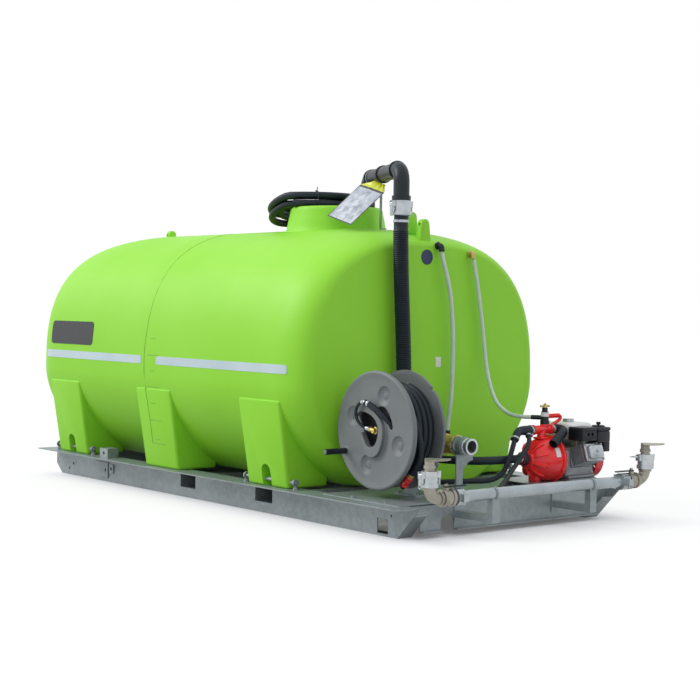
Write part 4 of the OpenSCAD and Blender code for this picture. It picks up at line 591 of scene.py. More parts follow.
flange = spun([(0, 8)] + FLANGE_RIM + [(0, FLANGE_T)], NEAR_Y)
grip_boss = bar(reel_at(GRIP_R, GRIP_A, NEAR_Y - 0.2), reel_at(GRIP_R, GRIP_A, NEAR_Y + FLANGE_T), 0.020, 32,
                edge=0)
fused(flange, grip_boss, through_near(HUB_BOSS, -16, 12), *[cup_at(k, CUP) for k in range(4)])
cut(flange, through_near(HUB_MOUTH, -40, 60), through_near(HOSE_SLOT, -40, 60),
    *[cup_at(k, CUP_HOLLOW) for k in range(4)])
worked(flange, "REMESH", mode="VOXEL", voxel_size=0.0034)
worked(flange, "SMOOTH", factor=0.5, iterations=5)
grip_low, grip_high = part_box("crank_grip")
pin_end = Vector(((grip_low[0] + grip_high[0]) / 2, grip_low[1], (grip_low[2] + grip_high[2]) / 2))
pin_root = Vector((pin_end.x, grip_high[1] + 0.006, pin_end.z))
pin = bar(pin_end + Vector((0, -0.002, 0)), pin_root, 0.006, 20, edge=0)
pin_head = bar(pin_end + Vector((0, -0.0045, 0)), pin_end + Vector((0, -0.0005, 0)), 0.012, 24, edge=0.001)
finished("reel_disc_near", [flange, pin, pin_head], grey, "grey_plastic", "reel_flange_near", body="reel",
         angle=50)

# the far flange carries the drum, and its rim has notches
FAR_RIM = [(radius, min(deep, 23)) for radius, deep in FLANGE_RIM]
DRUM = [(218, FLANGE_T), (218, 206), (216, 207), (210, 207), (210, 116), (31, 116), (31, 8)]
RIM_CUTS, RIM_CUT_R = (46, 112, 190, 258, 330), 310
NOTCH = Vector((0.013, 0, 0.013))
drum = spun([(31, 8)] + FAR_RIM + DRUM, FAR_Y, -1)
for angle in RIM_CUTS:
    low, high = (reel_at(RIM_CUT_R, angle, FAR_Y + off) for off in (-60, 20))
    cut(drum, block(low - NOTCH, high + NOTCH, edge=0.005))
# its darker grey is painted shade
finished("reel_drum", [drum], shaded_grey, "grey_plastic", "reel_flange_far", body="reel", angle=40)

# swivel in the hub, with its short hose up to the tail of the wound hose
SHORT_RUN = [(-52, 10), (-66, 15), (-81, 26), (-95, 40), (-105, 57), (-110, 76), (-110, 95), (-104, 113),
             (-94, 129), (-80, 141), (-66, 148)]
SHORT_Y = (-716, -721, -728, -734, -738, -741, -742, -742, -741, -739, -737)
TAIL_RUN = [(-40, 147), (-20, 141), (5, 128), (30, 112), (55, 94), (78, 74), (96, 52), (108, 28), (114, 4),
            (112, -22)]
TAIL_Y = (-734, -731, -725, -718, -709, -698, -686, -673, -659, -645)


for name, run, depths, radius in (("hub_short_hose", SHORT_RUN, SHORT_Y, 0.0085),
                                  ("hub_hose_tail", TAIL_RUN, TAIL_Y, 0.0155)):
    route = [(REEL_X + u, y, REEL_Z + v) for (u, v), y in zip(run, depths)]
    hose(name, route, radius, rubber, "black_rubber", "stiff", "taut", body="reel")


def hub_rod(start, end, radius, sides=32, edge=0.0012):
    return bar(*(at(REEL_X + u, y, REEL_Z + v) for u, v, y in (start, end)), radius, sides, edge)


swivel = [hub_rod((0, 0, -680), (0, 0, -594), 0.014),
          hub_rod((0, 0, -700), (0, 0, -676), 0.021, 6, 0.002),
          hub_rod((0, 0, -718), (0, 0, -698), 0.014),
          hub_rod((8, 0, -708), (-30, 5, -710), 0.0115),
          hub_rod((-20, 3, -709), (-30, 5, -710), 0.0145, 6, 0.001)]
finished("hub_swivel", swivel, brass, "brass", "reel_swivel", body="reel")
ferrules = [hub_rod((-28, 5, -710), (-54, 10.5, -717), 0.0115),
            hub_rod((-34, 6, -712), (-40, 7.5, -714), 0.0135),
            hub_rod((-69, 147, -737), (-46, 149, -735), 0.0115),
            hub_rod((-56, 148, -736), (-49, 149, -735), 0.0165, 6, 0.001),
            hub_rod((-47, 149, -735), (-36, 146, -733.5), 0.0125),
            hub_rod((-26, 143, -732), (-15, 139, -730), 0.0172)]
finished("hub_ferrules", ferrules, steel, "steel", body="reel")

# moulded tank: rings of two half superellipses, drawn in and down towards the ends
REAR, FRONT = -629.0, -3632.0
END_STEPS = [0, 0.6, 2.5, 6, 11, 18, 27, 39, 54, 72, 94, 120, 150, 185, 221, 265, 320, 390, 470, 540, 601,
             850, 1150]
RING = 160
HALF_W, MID_Z, FLOOR_Z = 916, 743, 182
CROWN_H, CROWN_N = 900, 2.7
BELLY_H, BELLY_N = 710, 1.84
PLAN_RUN, PLAN_IN = 221, 113
END_RUN, END_DROP = 601, 118


def inset(d, run, rise):
    return 0.0 if d >= run else rise * (1 - math.sqrt(1 - (1 - d / run) ** 2))


def powered(v, e):
    return math.copysign(abs(v) ** e, v)


def half_wide(d):
    return HALF_W - inset(d, PLAN_RUN, PLAN_IN)


def tank_ring(x, d):
    wide = half_wide(d)
    drop = inset(d, END_RUN, END_DROP)
    ring = []
    for k in range(RING):
        c, s = math.cos(math.tau * k / RING), math.sin(math.tau * k / RING)
        e = 2 / CROWN_N if s >= 0 else 2 / BELLY_N
        h = CROWN_H - drop if s >= 0 else BELLY_H - drop / 2
        ring.append(at(x, wide * powered(c, e), max(MID_Z + h * powered(s, e), FLOOR_Z)))
    return ring


rings = [tank_ring(FRONT + d, d) for d in END_STEPS] + [tank_ring(REAR - d, d) for d in reversed(END_STEPS)]
points = [p for ring in rings for p in ring]
faces = []
for i in range(len(rings) - 1):
    for k in range(RING):
        j = (k + 1) % RING
        faces.append((i * RING + k, (i + 1) * RING + k, (i + 1) * RING + j, i * RING + j))
faces.append(tuple(range(RING)))
faces.append(tuple((len(rings) - 1) * RING + k for k in range(RING)))
tank = outward(meshed("moulded_tank", points, faces))

LEG_MID, LEG_PITCH = (REAR + FRONT) / 2, 1117.0
LEG_HALF, LEG_IN, LEG_OUT = 188, 560, 839
LEG_FOOT, LEG_TOP, LEG_PROUD = 174, 664.0, 9.0
LEG_LEAN = (905 + LEG_PROUD - LEG_OUT) / (655 - LEG_FOOT)
LEG_FLARE = 0.008


def leg(x, side):
    near, far = sorted((side * LEG_IN, side * LEG_OUT))
    piece = block(at(x - LEG_HALF, near, LEG_FOOT), at(x + LEG_HALF, far, LEG_TOP), edge=0)
    for corner in piece.data.vertices:
        if corner.co.z > 0.5:
            corner.co.x += math.copysign(LEG_FLARE, corner.co.x - at(x, 0, 0).x)
            if abs(corner.co.y) > 0.7:
                corner.co.y += side * LEG_LEAN * (LEG_TOP - LEG_FOOT) / 1000
    return softened(piece, 0.016, 3)


COLLAR = [(0, 1560), (324, 1560), (320, 1605), (313, 1628), (306, 1644), (302, 1660), (298, 1685),
          (291, 1718), (284, 1752), (282, 1766), (276, 1775), (266, COLLAR_TOP), (0, COLLAR_TOP)]
collar = turned(scaled(COLLAR), at(COLLAR_X, 0, 0), Z_AXIS, 96)
fused(tank, *[leg(LEG_MID + step * LEG_PITCH, side) for step in (-1, 0, 1) for side in (-1, 1)], collar)
cut(tank, bar(at(COLLAR_X, 0, 1712), at(COLLAR_X, 0, 1800), 0.262, 72, edge=0))


def round_top(radius, z, steps):
    turns = [math.pi * i / steps for i in range(steps + 1)]
    return [(radius * math.cos(a), z + radius * math.sin(a)) for a in turns]


def arch(x, side):
    """The notch in a leg that the hold-down bar goes through."""
    half = 42.5
    outline = [(-half, 165), (half, 165)] + round_top(half, 256.5, 16)
    return prism(*([at(x + u, side * y, z) for u, z in outline] for y in (784, 960)))


cut(tank, *[arch(LEG_MID + step * LEG_PITCH, side) for step in (-1, 1) for side in (-1, 1)])


def lug(x, top, half, crest=30, thick=23):
    outline = [(-half, top - 130), (half, top - 130)] + round_top(crest, top - crest, 14)
    piece = prism(*([at(x + off, y, z) for y, z in outline] for off in (-thick, thick)))
    softened(piece, 0.008, 3, 50)
    return cut(piece, bar(at(x, -80, top - crest), at(x, 80, top - crest), 0.009, 24, edge=0))


lugs = [lug(FRONT + 245, 1694, 40), lug(REAR - 165, 1731, 40), lug(REAR - 55, 1687, 42)]
finished("moulded_tank", [tank] + lugs, green, "tank_plastic", "tank_shell", angle=32)


# what lies on the seen side: the mould's seam and level marks, two tapes and the bare signs

def side_y(x, z):
    wide = half_wide(min(x - FRONT, REAR - x))
    if z >= MID_Z:
        return -wide * (1 - ((z - MID_Z) / CROWN_H) ** CROWN_N) ** (1 / CROWN_N)
    if z >= LEG_TOP or abs(x - LEG_MID) > LEG_HALF:
        return -wide * (1 - ((MID_Z - z) / BELLY_H) ** BELLY_N) ** (1 / BELLY_N)
    return -(LEG_OUT + LEG_LEAN * (z - LEG_FOOT))


def on_side(x, z, off):
    return at(x, side_y(x, z) - off, z)


SEAM = [(-2200, 324), (-2198, 400), (-2198, 464), (-2202, 560), (-2206, 640), (-2207, 662), (-2210, 666),
        (-2222, 747), (-2225, 820), (-2225, 900), (-2219, 960), (-2214, 1018), (-2211, 1100), (-2210, 1180),
        (-2210, 1260), (-2210, 1340), (-2210, 1410), (-2210, 1470), (-2210, 1520), (-2210, 1560),
        (-2210, 1590), (-2210, 1612), (-2210, 1630)]
SEAM_R, SEAM_SUNK = 0.0030, -0.6
MARK_R, MARK_SUNK = 0.0026, -0.8
LEVEL_MARKS = [(867, 120), (673, 130), (467, 126), (968, 56), (770, 52), (573, 50), (348, 56)]
seam_line = [on_side(x, z, SEAM_SUNK) for x, z in SEAM]
marks = [tube_along("seam_line", seam_line, [SEAM_R] * len(seam_line), 8)]
for z, long in LEVEL_MARKS:
    x0 = -2188 if long > 100 else -2160
    mark_line = [on_side(x0 + long * k / 4, z, MARK_SUNK) for k in range(5)]
    marks.append(tube_along("mark", mark_line, [MARK_R] * 5, 8))
foot_line = [on_side(-2200 + 150 * k / 5, 324 - k * 0.6, SEAM_SUNK) for k in range(6)]
marks.append(tube_along("mark", foot_line, [SEAM_R] * 6, 8))
# the seam and the marks wear the darker green, a painted groove shade
finished("mould_marks", marks, groove_shade_green, "tank_plastic", angle=60)


def laid(name, x0, x1, z0, z1, off, thick, corner, columns=90, rows=4):
    """A thin sheet with round corners laid on the tank's side."""
    stations = [x0 + corner * (1 - math.cos(math.pi / 2 * k / 8)) for k in range(8)]
    stations += [x0 + corner + (x1 - x0 - 2 * corner) * k / columns for k in range(columns + 1)]
    stations += [x1 - corner * (1 - math.cos(math.pi / 2 * k / 8)) for k in range(7, -1, -1)]
    middle, half = (z0 + z1) / 2, (z1 - z0) / 2
    points = []
    for x in stations:
        d = min(x - x0, x1 - x, corner)
        tall = half - corner + math.sqrt(max(corner ** 2 - (corner - d) ** 2, 0.04))
        points += [on_side(x, middle + tall * (2 * j / rows - 1), off) for j in range(rows + 1)]
    step = rows + 1
    faces = [(i * step + j, (i + 1) * step + j, (i + 1) * step + j + 1, i * step + j + 1)
             for i in range(len(stations) - 1) for j in range(rows)]
    piece = meshed(name, points, faces)
    return worked(piece, "SOLIDIFY", thickness=thick / 1000, offset=-1)


TAPE_Z, TAPE_SPANS = (811, 861), ((FRONT + 133, LEG_MID - 130), (LEG_MID + 45, REAR - 128))
tapes = [laid("tape", start, end, *TAPE_Z, 1.4, 1.0, 14) for start, end in TAPE_SPANS]
finished("reflective_strips", tapes, tape, "white_tape", "reflective_tapes", angle=60)
BADGE = [(0, 0), (43, 0), (43, 2), (41, 3.4), (37, 3.4), (36, 2.4), (0, 2.4)]
signs = [laid("sign", FRONT + 197, FRONT + 757, 904, 1056, 1.4, 1.2, 30),
         turned(scaled(BADGE), at(REAR + 0.3, -18, 1468), X_AXIS, 48),
         block(at(REAR + 0.3, 58, 839), at(REAR + 2.3, 98, 897), 0.0008)]
finished("bare_signs", signs, vinyl, "dark_vinyl", "sign_plates", angle=40)

# pump: a shell hollow for its rotor, with ribs, bolts, feet and a manifold
PUMP_X, PUMP_Y, PUMP_Z = -100.0, 268.0, 338.0
SHAFT_Z, SHAFT_R = 321.0, 0.0165
DECK_Z, MANIFOLD_Z = 215.3, 505
DOME_ARC = [(123 * math.sin(a), 18 + 150 * (math.cos(math.radians(25)) - math.cos(a)))
            for a in (math.radians(25 + 5 * k) for k in range(14))]
DOME_BACK = [(123, 176), (131, 178), (133, 181), (133, 195), (131, 198), (121, 200), (119, 211.5), (0, 211.5)]
DOME = [(0, 0), (44, 0), (50, 3), (52, 8)] + DOME_ARC + DOME_BACK
DOME_HOLLOW = [(0, 18), (50, 18), (104, 80), (104, 194), (0, 194)]
DOME_RIB = [(46, 8), (60, 8), (84, 24), (104, 47), (117, 78), (104, 80), (80, 50)]
RIB_HALF = 0.0035
BOLT_R = 127


def pump_rod(z, start, end, radius, sides=40, edge=0.0012):
    return bar(at(PUMP_X, start, z), at(PUMP_X, end, z), radius, sides, edge)


def pump_post(y, low, high, radius, end_radius=None):
    return bar(at(PUMP_X, y, low), at(PUMP_X, y, high), radius, 40, end_radius=end_radius)


def about_pump(radius, angle, y):
    a = math.radians(angle)
    return at(PUMP_X + radius * math.cos(a), y, PUMP_Z + radius * math.sin(a))


def dome_rib(angle):
    a = math.radians(angle)
    out, along = Vector((math.cos(a), 0, math.sin(a))), Vector((-math.sin(a), 0, math.cos(a)))
    line = [at(PUMP_X, PUMP_Y + h, PUMP_Z) + out * r / 1000 for r, h in DOME_RIB]
    rib = prism([p - along * RIB_HALF for p in line], [p + along * RIB_HALF for p in line])
    return softened(rib, 0.002, 2)


pump_foot = at(PUMP_X, PUMP_Y, PUMP_Z)
dome, hollow = (turned(scaled(profile), pump_foot, Y_AXIS, 96) for profile in (DOME, DOME_HOLLOW))
cut(dome, hollow, pump_rod(SHAFT_Z, 455, 500, SHAFT_R, edge=0),
    block(at(-300, 200, 150), at(100, 560, DECK_Z), edge=0))
pump_parts = [dome] + [dome_rib(20 + 36 * k) for k in range(10)]
for k in range(8):
    a = 22.5 + 45 * k
    if PUMP_Z + BOLT_R * math.sin(math.radians(a)) > DECK_Z + 12:
        pump_parts.append(bar(about_pump(BOLT_R, a, 438), about_pump(BOLT_R, a, 448), 0.0095, 6, edge=0.001))
pump_parts += [pump_rod(350, 231, 276, 0.034),
               block(at(-132, 322, DECK_Z), at(-68, 352, 250), 0.004),
               pump_post(390, 436, 506, 0.026, 0.024),
               block(at(-134, 356, 452), at(-66, 424, 464), 0.005),
               pump_rod(MANIFOLD_Z, 318, 462, 0.024),
               pump_rod(MANIFOLD_Z, 314, 330, 0.0285),
               pump_rod(MANIFOLD_Z, 450, 465.5, 0.0285),
               pump_post(415, MANIFOLD_Z, 534.5, 0.023),
               pump_post(415, 524, 534.6, 0.0265)]
# carrying handle with its finger ribs
HANDLE_X, HANDLE_Z, HANDLE_R = -112, 578, 0.0100
GRIP_FROM, GRIP_PITCH, GRIP_RIB = 460, 9.6, 4.6
HANDLE = [(444, 500), (444, 530), (444, 556), (447, 570), (456, 577), (470, 578), (500, 578), (530, 578),
          (545, 577), (554, 571), (553, 561), (545, 553), (520, 541), (492, 529), (470, 519)]
handle_line = [at(HANDLE_X, y, z) for y, z in HANDLE]
pump_parts.append(tube_along("handle", handle_line, [HANDLE_R] * len(handle_line), 20))
for k in range(9):
    start = GRIP_FROM + GRIP_PITCH * k
    low, high = (at(HANDLE_X, y, HANDLE_Z) for y in (start, start + GRIP_RIB))
    pump_parts.append(bar(low, high, 0.0128, 20, edge=0.001))
finished("pump_body", pump_parts, red, "red_paint", "pump_casing")


def dome_radius(y):
    h = y - PUMP_Y
    for (r0, h0), (r1, h1) in zip(DOME[3:], DOME[4:]):
        if h0 <= h <= h1:
            return r0 + (r1 - r0) * (h - h0) / max(h1 - h0, 0.001)
    return 123.0


def net(lines, row, base=0):
    """Faces between points that lie in lines, row points to a line."""
    starts = [base + j * row + i for j in range(lines) for i in range(row - 1)]
    return [(k, k + 1, k + row + 1, k + row) for k in starts]


# bare label on the dome, and the pale band of the relief valve
LABEL_STEPS = 8
label_points = []
for i in range(LABEL_STEPS + 1):
    y = 394 + 32 * i / LABEL_STEPS
    out = dome_radius(y) + 1.0
    label_points += [about_pump(out, 10 + 25 * j / LABEL_STEPS, y) for j in range(LABEL_STEPS + 1)]
dome_label = meshed("dome_label", label_points, net(LABEL_STEPS, LABEL_STEPS + 1))
worked(dome_label, "SOLIDIFY", thickness=0.0016, offset=0)
RELIEF_BAND = [(0.0195, 0), (0.0222, 0), (0.0222, 0.024), (0.0195, 0.024), (0.0195, 0)]
relief_band = turned(RELIEF_BAND, at(PUMP_X, 415, 578), Z_AXIS, 48)
finished("bare_labels", [outward(dome_label), relief_band], white, "white_plastic", angle=60)


def smooth_line(points, steps=5):
    """An open smooth line through points."""
    knots = [Vector(p) for p in points]
    knots = [2 * knots[0] - knots[1]] + knots + [2 * knots[-1] - knots[-2]]
    line = []
    for a, b, c, d in zip(knots, knots[1:], knots[2:], knots[3:]):
        for k in range(steps):
            u = k / steps
            bend = (2 * a - 5 * b + 4 * c - d) * u ** 2
            line.append((2 * b + (c - a) * u + bend + (3 * b - a - 3 * c + d) * u ** 3) / 2)
    return line + [knots[-2]]


def band(middle, way, radius, wide=0.011):
    """A worm-drive band with its screw."""
    way = way.normalized()
    ring = bar(middle - way * wide / 2, middle + way * wide / 2, radius, 40, edge=0.0008)
    out = way.cross(Z_AXIS if abs(way.z) < 0.9 else Y_AXIS).normalized()
    up = out.cross(way)
    beside = middle + out * (radius + 0.003)
    return [ring, bar(beside - up * 0.011, beside + up * 0.011, 0.0042, 6, edge=0.0006)]


# rubber elbows on the manifold: the left takes the delivery hose, the right is turned forward and open
left_knots = [at(PUMP_X, y, MANIFOLD_Z) for y in (315, 285, 258)] + [at(*p) for p in DELIVERY_ROUTE[:6]]
left_line = smooth_line(left_knots)
left_radii = [0.0275 - 0.0065 * ease(i / (len(left_line) - 1)) for i in range(len(left_line))]
left_elbow = tube_along("left_elbow", left_line, left_radii, 28)
feed_tee = bar(at(-96, 277, 501), at(-68.5, 257.4, 473.5), 0.0165, 28, edge=0.002)
RIGHT_BEND = [(PUMP_X, 466.3, 505), (-99, 484, 505), (-88, 501, 505), (-64, 508, 504), (-38, 498, 499),
              (-17, 470, 486), (-5, 435, 466), (3, 402, 448), (8, 372, 432)]
right_line = smooth_line([at(*p) for p in RIGHT_BEND], 8)
right_radii = [0.0262 + 0.0007 * math.cos(math.tau * i / 6) for i in range(len(right_line))]
right_elbow = tube_along("right_elbow", right_line, right_radii, 32)
right_end = right_line[-1]
mouth_way = (right_end - right_line[-3]).normalized()
cut(right_elbow, bar(right_end - mouth_way * 0.05, right_end + mouth_way * 0.01, 0.0215, 32, edge=0))
CUFF = [(0, 0), (38, 0), (40, 2), (40, 12), (38.5, 14), (38.5, 22), (37, 26), (32, 31), (28, 34), (0, 34)]
cuff = turned(scaled(CUFF), at(PUMP_X, 262, 350), Vector((0, -1, 0)), 48)
finished("manifold_elbows", [left_elbow, feed_tee, right_elbow, cuff], rubber, "black_rubber", angle=50)
bands = band(at(PUMP_X, 300, MANIFOLD_Z), Y_AXIS, 0.0290)
bands += band(left_line[-4], left_line[-3] - left_line[-5], 0.0232)
bands += band(at(-73.4, 260.9, 478.4), Vector((-27.5, 19.6, 27.5)), 0.0178, 0.009)
bands += band(right_line[3], Y_AXIS, 0.0278)
finished("elbow_bands", bands, steel, "steel")

# fittings on the tank's end
TANK_FACE, TUBE_X = -628.7, -590
OUTLET_Y, OUTLET_Z = -120, 340
OUTLET = ((TANK_FACE, -611, 0.053, 6, 0.003), (-613, -595, 0.034, 40, 0.0012),
          (-611, -606, 0.041, 40, 0.0012))


def tank_elbow(y, z, end):
    """A sight-tube elbow: flange on the tank, a bend, and its socket."""
    step = 1 if end > z else -1
    knots = [at(-628, y, z), at(-612, y, z), at(-601, y, z + step), at(-593, y, z + 6 * step),
             at(TUBE_X, y, z + 15 * step), at(TUBE_X, y, end - 0.4 * step)]
    bend = smooth_line(knots, 6)
    return [bar(at(TANK_FACE, y, z), at(-618, y, z), 0.024, 6, edge=0.002),
            tube_along("bend", bend, [0.0150] * len(bend), 24),
            bar(at(TUBE_X, y, end - 16 * step), at(TUBE_X, y, end - 0.4 * step), 0.0172, 28, edge=0.0015),
            bar(at(-617, y, z), at(-611, y, z), 0.0185, 28, edge=0.001)]


ports = tank_elbow(60, 1535, 1500) + tank_elbow(124, 440, 476)
for start, end, radius, sides, edge in OUTLET:
    ports.append(bar(at(start, OUTLET_Y, OUTLET_Z), at(end, OUTLET_Y, OUTLET_Z), radius, sides, edge))
finished("tank_ports", ports, black, "black_plastic", "plastic_fittings")

# engine: crankcase, finned cylinder leaning forward, head and valve cover
ENGINE_LEAN = math.radians(-18)


def leaned(piece):
    piece.rotation_euler = (0, ENGINE_LEAN, 0)
    piece.location = at(PUMP_X, 0, SHAFT_Z)
    return settled(piece)


def leaned_block(x0, y0, z0, x1, y1, z1, edge):
    return leaned(block(Vector((x0, y0, z0)) / 1000, Vector((x1, y1, z1)) / 1000, edge))


case = block(at(-190, 505, 226), at(-12, 738, 402), 0.024)
case_face = pump_rod(SHAFT_Z, 490, 512, 0.078, 48, 0.006)
engine_parts = [cut(part, pump_rod(SHAFT_Z, 480, 536, SHAFT_R, edge=0)) for part in (case, case_face)]
engine_parts += [block(at(-200, 514, 227), at(0, 730, 246), 0.006),
                 block(at(-210, 512, DECK_Z), at(8, 731, 227), 0.004),
                 leaned_block(30, 552, -42, 190, 678, 42, 0.008),
                 leaned_block(60, 536, -58, 92, 694, 58, 0.010)]
FIN_FROM, FIN_PITCH, FIN_T = 97, 11.5, 4.5
for k in range(8):
    fin = FIN_FROM + FIN_PITCH * k
    engine_parts.append(leaned_block(fin, 541, -53, fin + FIN_T, 689, 53, 0.0018))
engine_parts += [block(at(x - 12, 600, 392), at(x + 12, 720, 439.6), 0.003) for x in (-170, -60)]
engine_parts += [block(at(-20, 560, 385), at(8, 600, 445.6), 0.003),
                 block(at(-20, 660, 385), at(14, 720, 431.6), 0.003)]
FACE_BOLT_R = 67
for k in range(6):
    a = math.tau * (k + 0.5) / 6
    spot = at(PUMP_X + FACE_BOLT_R * math.cos(a), 488, SHAFT_Z + FACE_BOLT_R * math.sin(a))
    engine_parts.append(bar(spot, spot + Vector((0, 0.006, 0)), 0.006, 6, edge=0.0008))
finished("engine_casting", engine_parts, metal_grey, "engine_metal", "engine_block")


def cover_bolt(start, end, y, z, radius, edge):
    return leaned(bar(Vector((start, y, z)), Vector((end, y, z)), radius, 6, edge=edge))


cover_parts = [leaned_block(187, 545, -50, 205, 685, 50, 0.004),
               leaned_block(203, 560, -39, 231, 670, 39, 0.013),
               cover_bolt(0.228, 0.238, 0.615, 0, 0.009, 0.001)]
COVER_SPOTS = [(y, z) for y in (0.553, 0.677) for z in (-0.042, 0.042)]
cover_parts += [cover_bolt(0.203, 0.212, y, z, 0.0065, 0.0008) for y, z in COVER_SPOTS]
finished("valve_cover", cover_parts, steel, "steel")

# exhaust guard with its louvres, and the air cleaner
guard = block(at(-18, 516, 446), at(100, 632, 523), 0.009)
louvres = [block(at(-6, 505, 458 + 11 * k), at(50, 522, 463 + 11 * k), 0) for k in range(5)]
vents = [bar(at(88, y, 484), at(120, y, 484), 0.0098, 24, edge=0) for y in (560, 592)]
grooves = [block(at(94, 526, z), at(120, 622, z + 3), 0) for z in (464, 503)]
cut(guard, *louvres, *vents, *grooves)
finished("exhaust_guard", [guard], black, "black_plastic", "muffler")
KNOB = [(0, 0), (7, 0), (7, 5), (12, 7), (13, 10), (13, 17), (11, 20.5), (0, 20.5)]
cleaner = [block(at(3, 640, 432), at(99, 745, 500), 0.012),
           block(at(2, 638, 498), at(100, 747, 519), 0.009),
           block(at(40, 700, 380), at(92, 747, 438), 0.006),
           bar(at(51, 692.5, 517), at(51, 692.5, 529), 0.040, 48, end_radius=0.034),
           turned(scaled(KNOB), at(51, 692.5, 527), Z_AXIS, 32)]
finished("air_filter_box", cleaner, black, "black_plastic", "air_cleaner")
fuel = [block(at(-260, 560, 440), at(-40, 760, 535), 0.030),
        block(at(-264, 556, 482), at(-36, 764, 489), 0.003),
        bar(at(-150, 660, 531), at(-150, 660, 543), 0.0236, 40)]
finished("fuel_can", fuel, white, "white_plastic", "fuel_tank")

# starter rope, as it lies in the recoil cover at rest
ROPE_LOW, ROPE_HIGH, ROPE_STEPS = 374.0, 411.0, 48
rope_line = [at(-100, 774, ROPE_LOW + (ROPE_HIGH - ROPE_LOW) * k / ROPE_STEPS) for k in range(ROPE_STEPS + 1)]
rope = dressed(tube_along("starter_rope", rope_line, [0.0022] * len(rope_line), 12), black)
only(rope)
bpy.ops.object.shade_smooth_by_angle(angle=math.radians(60))
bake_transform(rope)

# document bag: two sheets closed along the rim, gathered where it hangs and creased lower down
BAG_CORNER = at(-1122, -69, 1940)
BAG_ACROSS = Vector((963, -142, -229)).normalized()
bag_down = Vector((-263, -676, -688))
bag_down = (bag_down - BAG_ACROSS * bag_down.dot(BAG_ACROSS)).normalized()
BAG_OUT = BAG_ACROSS.cross(bag_down)
BAG_W, BAG_L = 0.28, 0.33
BAG_COLS, BAG_ROWS = 24, 32
BAG_HUNG, GATHER_END = 0.56, 0.18
bag_row = BAG_COLS + 1
bag_net = bag_row * (BAG_ROWS + 1)
bag_points = []
for face in (-1, 1):
    for j in range(BAG_ROWS + 1):
        for i in range(bag_row):
            u, v = i / BAG_COLS, j / BAG_ROWS
            full = 0.0
            if 0 < u < 1 and v < 0.9:
                full = (math.sin(math.pi * u) * math.sin(math.pi * min(v * 1.1, 1.0))) ** 0.5
            crease = 0.0022 * math.sin(9 * u + 4 * v) * math.sin(11 * v)
            crease += 0.0014 * math.sin(23 * u - 9 * v + 2 * math.sin(7 * v))
            fold = max(0.0, 1 - v / GATHER_END)
            pull = 1 - 0.5 * ease(fold)
            ruck = 0.006 * fold * math.sin(26 * u)
            lift_out = 0.003 + (0.0034 * full + 0.0002) * face + crease * full + ruck
            across = BAG_HUNG + (u - BAG_HUNG) * pull
            flat = BAG_CORNER + BAG_ACROSS * across * BAG_W + bag_down * v * BAG_L
            bag_points.append(flat + BAG_OUT * lift_out)
bag_faces = [tuple(reversed(quad)) for quad in net(BAG_ROWS, bag_row)] + net(BAG_ROWS, bag_row, bag_net)
rim = list(range(bag_row)) + [j * bag_row + BAG_COLS for j in range(1, BAG_ROWS + 1)]
rim += [BAG_ROWS * bag_row + i for i in range(BAG_COLS - 1, -1, -1)]
rim += [j * bag_row for j in range(BAG_ROWS - 1, 0, -1)]
for a, b in zip(rim, rim[1:] + rim[:1]):
    bag_faces.append((a, b, bag_net + b, bag_net + a))
bag = meshed("document_pouch", bag_points, bag_faces)
layer = bag.data.uv_layers.new(name="pouch")
for loop in bag.data.loops:
    index = loop.vertex_index % bag_net
    layer.data[loop.index].uv = ((index % bag_row) / BAG_COLS, (index // bag_row) / BAG_ROWS)
outward(bag)

# clear vinyl with a coloured header, a zip and welded edges
HEADER_END, HEADER_YELLOW = 0.16, (0.62, 0.66, 0.015)
ZIP_AT, ZIP_HALF, ZIP_BLACK = 0.18, 0.022, (0.03, 0.03, 0.03)
WELD_FROM, HEM_FROM, WELD_DARK = 0.468, 0.975, (0.05, 0.05, 0.05)
pouch, shader, place, mixed, lift = surface(
    "pouch_vinyl", (0.62, 0.65, 0.70), (0.24, 0.27, 0.33), 0.18, patch=24.0, grain=90.0, bump=0.3,
    depth=0.002)
axes = axes_of(new_node(place.id_data, "ShaderNodeUVMap", uv_map="pouch").outputs["UV"])
width, length = axes["X"], axes["Y"]
from_zip = sums("ABSOLUTE", sums("SUBTRACT", length, ZIP_AT))
from_middle = sums("ABSOLUTE", sums("SUBTRACT", width, 0.5))
with_header = blended(sums("LESS_THAN", length, HEADER_END), mixed, HEADER_YELLOW)
with_zip = blended(sums("LESS_THAN", from_zip, ZIP_HALF), with_header, ZIP_BLACK)
below_header = sums("GREATER_THAN", length, HEADER_END)
side_welds = sums("MULTIPLY", sums("GREATER_THAN", from_middle, WELD_FROM), below_header)
welds = sums("MAXIMUM", sums("GREATER_THAN", length, HEM_FROM), side_welds)
wired(shader, {"Base Color": blended(welds, with_zip, WELD_DARK)})
finished("document_pouch", [bag], pouch, "white_plastic", "document_bag", angle=60)

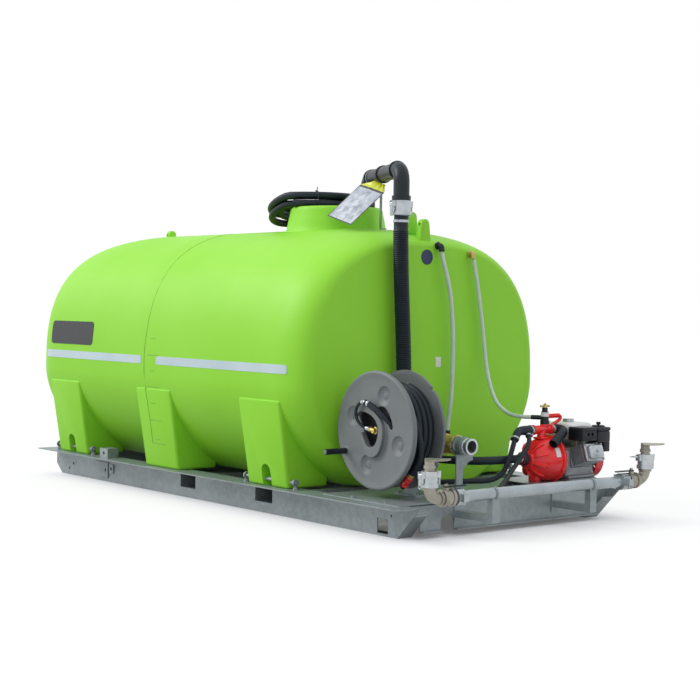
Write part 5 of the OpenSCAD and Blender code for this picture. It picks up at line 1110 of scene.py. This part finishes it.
# finishes of the nodes that keep their own shape
KEPT = {
    zinc: ["side_rail_left", "side_rail_right", "rear_crossrail", "cross_members", "rear_deck", "pump_tray",
           "tie_down_brackets", "hold_down_bars", "fasteners", "pipe_supports", "reel_stand"],
    pipe_zinc: ["spray_pipe", "grooved_couplings"],
    black: ["manhole_lid", "overhead_pipe", "crank_grip", "valve_lever_left", "valve_lever_right",
            "pull_handle", "relief_valve"],
    brass: ["brass_fittings", "relief_handle"],
    bronze: ["ball_valves", "spray_elbows", "spray_heads"],
    steel: ["hose_clamps", "fill_cam_a", "fill_cam_b", "spray_cam_a", "spray_cam_b", "spray_cam_c",
            "spray_cam_d", "pump_rotor", "fuel_cap"],
    polished: ["fill_adaptor", "camlock_couplers"],
    red: ["recoil_cover"],
}
WELD_GAP, CRISP = 0.00002, math.radians(32)
for finish, names in KEPT.items():
    for name in names:
        piece = nodes[name]
        dressed(piece, finish)
        for face in piece.data.polygons:
            face.use_smooth = True
        weld = piece.modifiers.new("weld", "WELD")
        weld.merge_threshold = WELD_GAP
        split = piece.modifiers.new("crisp", "EDGE_SPLIT")
        split.split_angle = CRISP


def mixed_shaders(share, first, second):
    inputs = {0: share, 1: first, 2: second}
    return new_node(share.id_data, "ShaderNodeMixShader", inputs).outputs["Shader"]


# floor: white to the eye, but darker under and around the skid, where a mask in the footprint's shape turns
# its glow down: partly its real shadow, partly painted shade; grey in the light that it throws back
PAPER, BOUNCE, WHITE = (0.94, 0.94, 0.94), (0.27, 0.28, 0.27), (1, 1, 1)
SKID_HALF_L, SKID_HALF_W = 1.75, 0.72
bpy.ops.object.select_all(action="DESELECT")
bpy.ops.mesh.primitive_plane_add(size=80, location=(0, 0, 0))
floor = bpy.context.object
floor.name = "studio_floor"
paper = bpy.data.materials.new("studio_paper")
paper.use_nodes = True
tree = paper.node_tree
shader = wired(tree.nodes["Principled BSDF"], {"Base Color": PAPER, "Roughness": 0.9})
bounce = new_node(tree, "ShaderNodeBsdfDiffuse", {"Color": BOUNCE})
glow = new_node(tree, "ShaderNodeEmission", {"Color": WHITE, "Strength": 1.0})
rays = new_node(tree, "ShaderNodeLightPath").outputs
seen = sums("MAXIMUM", rays["Is Camera Ray"], rays["Is Glossy Ray"])
seen = sums("MAXIMUM", seen, rays["Is Transmission Ray"])
axes = axes_of(new_node(tree, "ShaderNodeTexCoord").outputs["Object"])
past_end = sums("SUBTRACT", sums("ABSOLUTE", axes["X"]), SKID_HALF_L)
past_side = sums("SUBTRACT", sums("ABSOLUTE", axes["Y"]), SKID_HALF_W)
# the glow's share, 0.86 in the open and 0.1 under the skid: painted shade in the footprint's shape
glow_share_painted_shade = ranged(sums("MAXIMUM", past_end, past_side), -0.05, 0.45, 0.1, 0.86)
lit = mixed_shaders(rays["Is Diffuse Ray"], shader.outputs["BSDF"], bounce.outputs["BSDF"])
shown = mixed_shaders(sums("MULTIPLY", seen, glow_share_painted_shade), lit, glow.outputs["Emission"])
wired(tree.nodes["Material Output"], {"Surface": shown})
dressed(floor, paper)

# sky and lamp
SKY = (0.94, 0.97, 1.0)
SUN_STRENGTH, SUN_SPREAD, SUN_FROM = 1.55, math.radians(25), Vector((-0.58, -0.58, 0.57))
world = bpy.data.worlds.new("studio_world")
scene.world = world
world.use_nodes = True
tree = world.node_tree
sky = wired(tree.nodes["Background"], {"Color": SKY, "Strength": 1.0})
bright = new_node(tree, "ShaderNodeBackground", {"Color": WHITE, "Strength": 1.0})
rays = new_node(tree, "ShaderNodeLightPath").outputs
seen = sums("MAXIMUM", rays["Is Camera Ray"], rays["Is Transmission Ray"])
shown = mixed_shaders(seen, sky.outputs["Background"], bright.outputs["Background"])
wired(tree.nodes["World Output"], {"Surface": shown})
sun = bpy.data.objects.new("key_lamp", bpy.data.lights.new("key_lamp", "SUN"))
scene.collection.objects.link(sun)
sun.data.energy = SUN_STRENGTH
sun.data.angle = SUN_SPREAD
sun.rotation_euler = SUN_FROM.to_track_quat("Z", "Y").to_euler()

scene.view_settings.view_transform = "Standard"
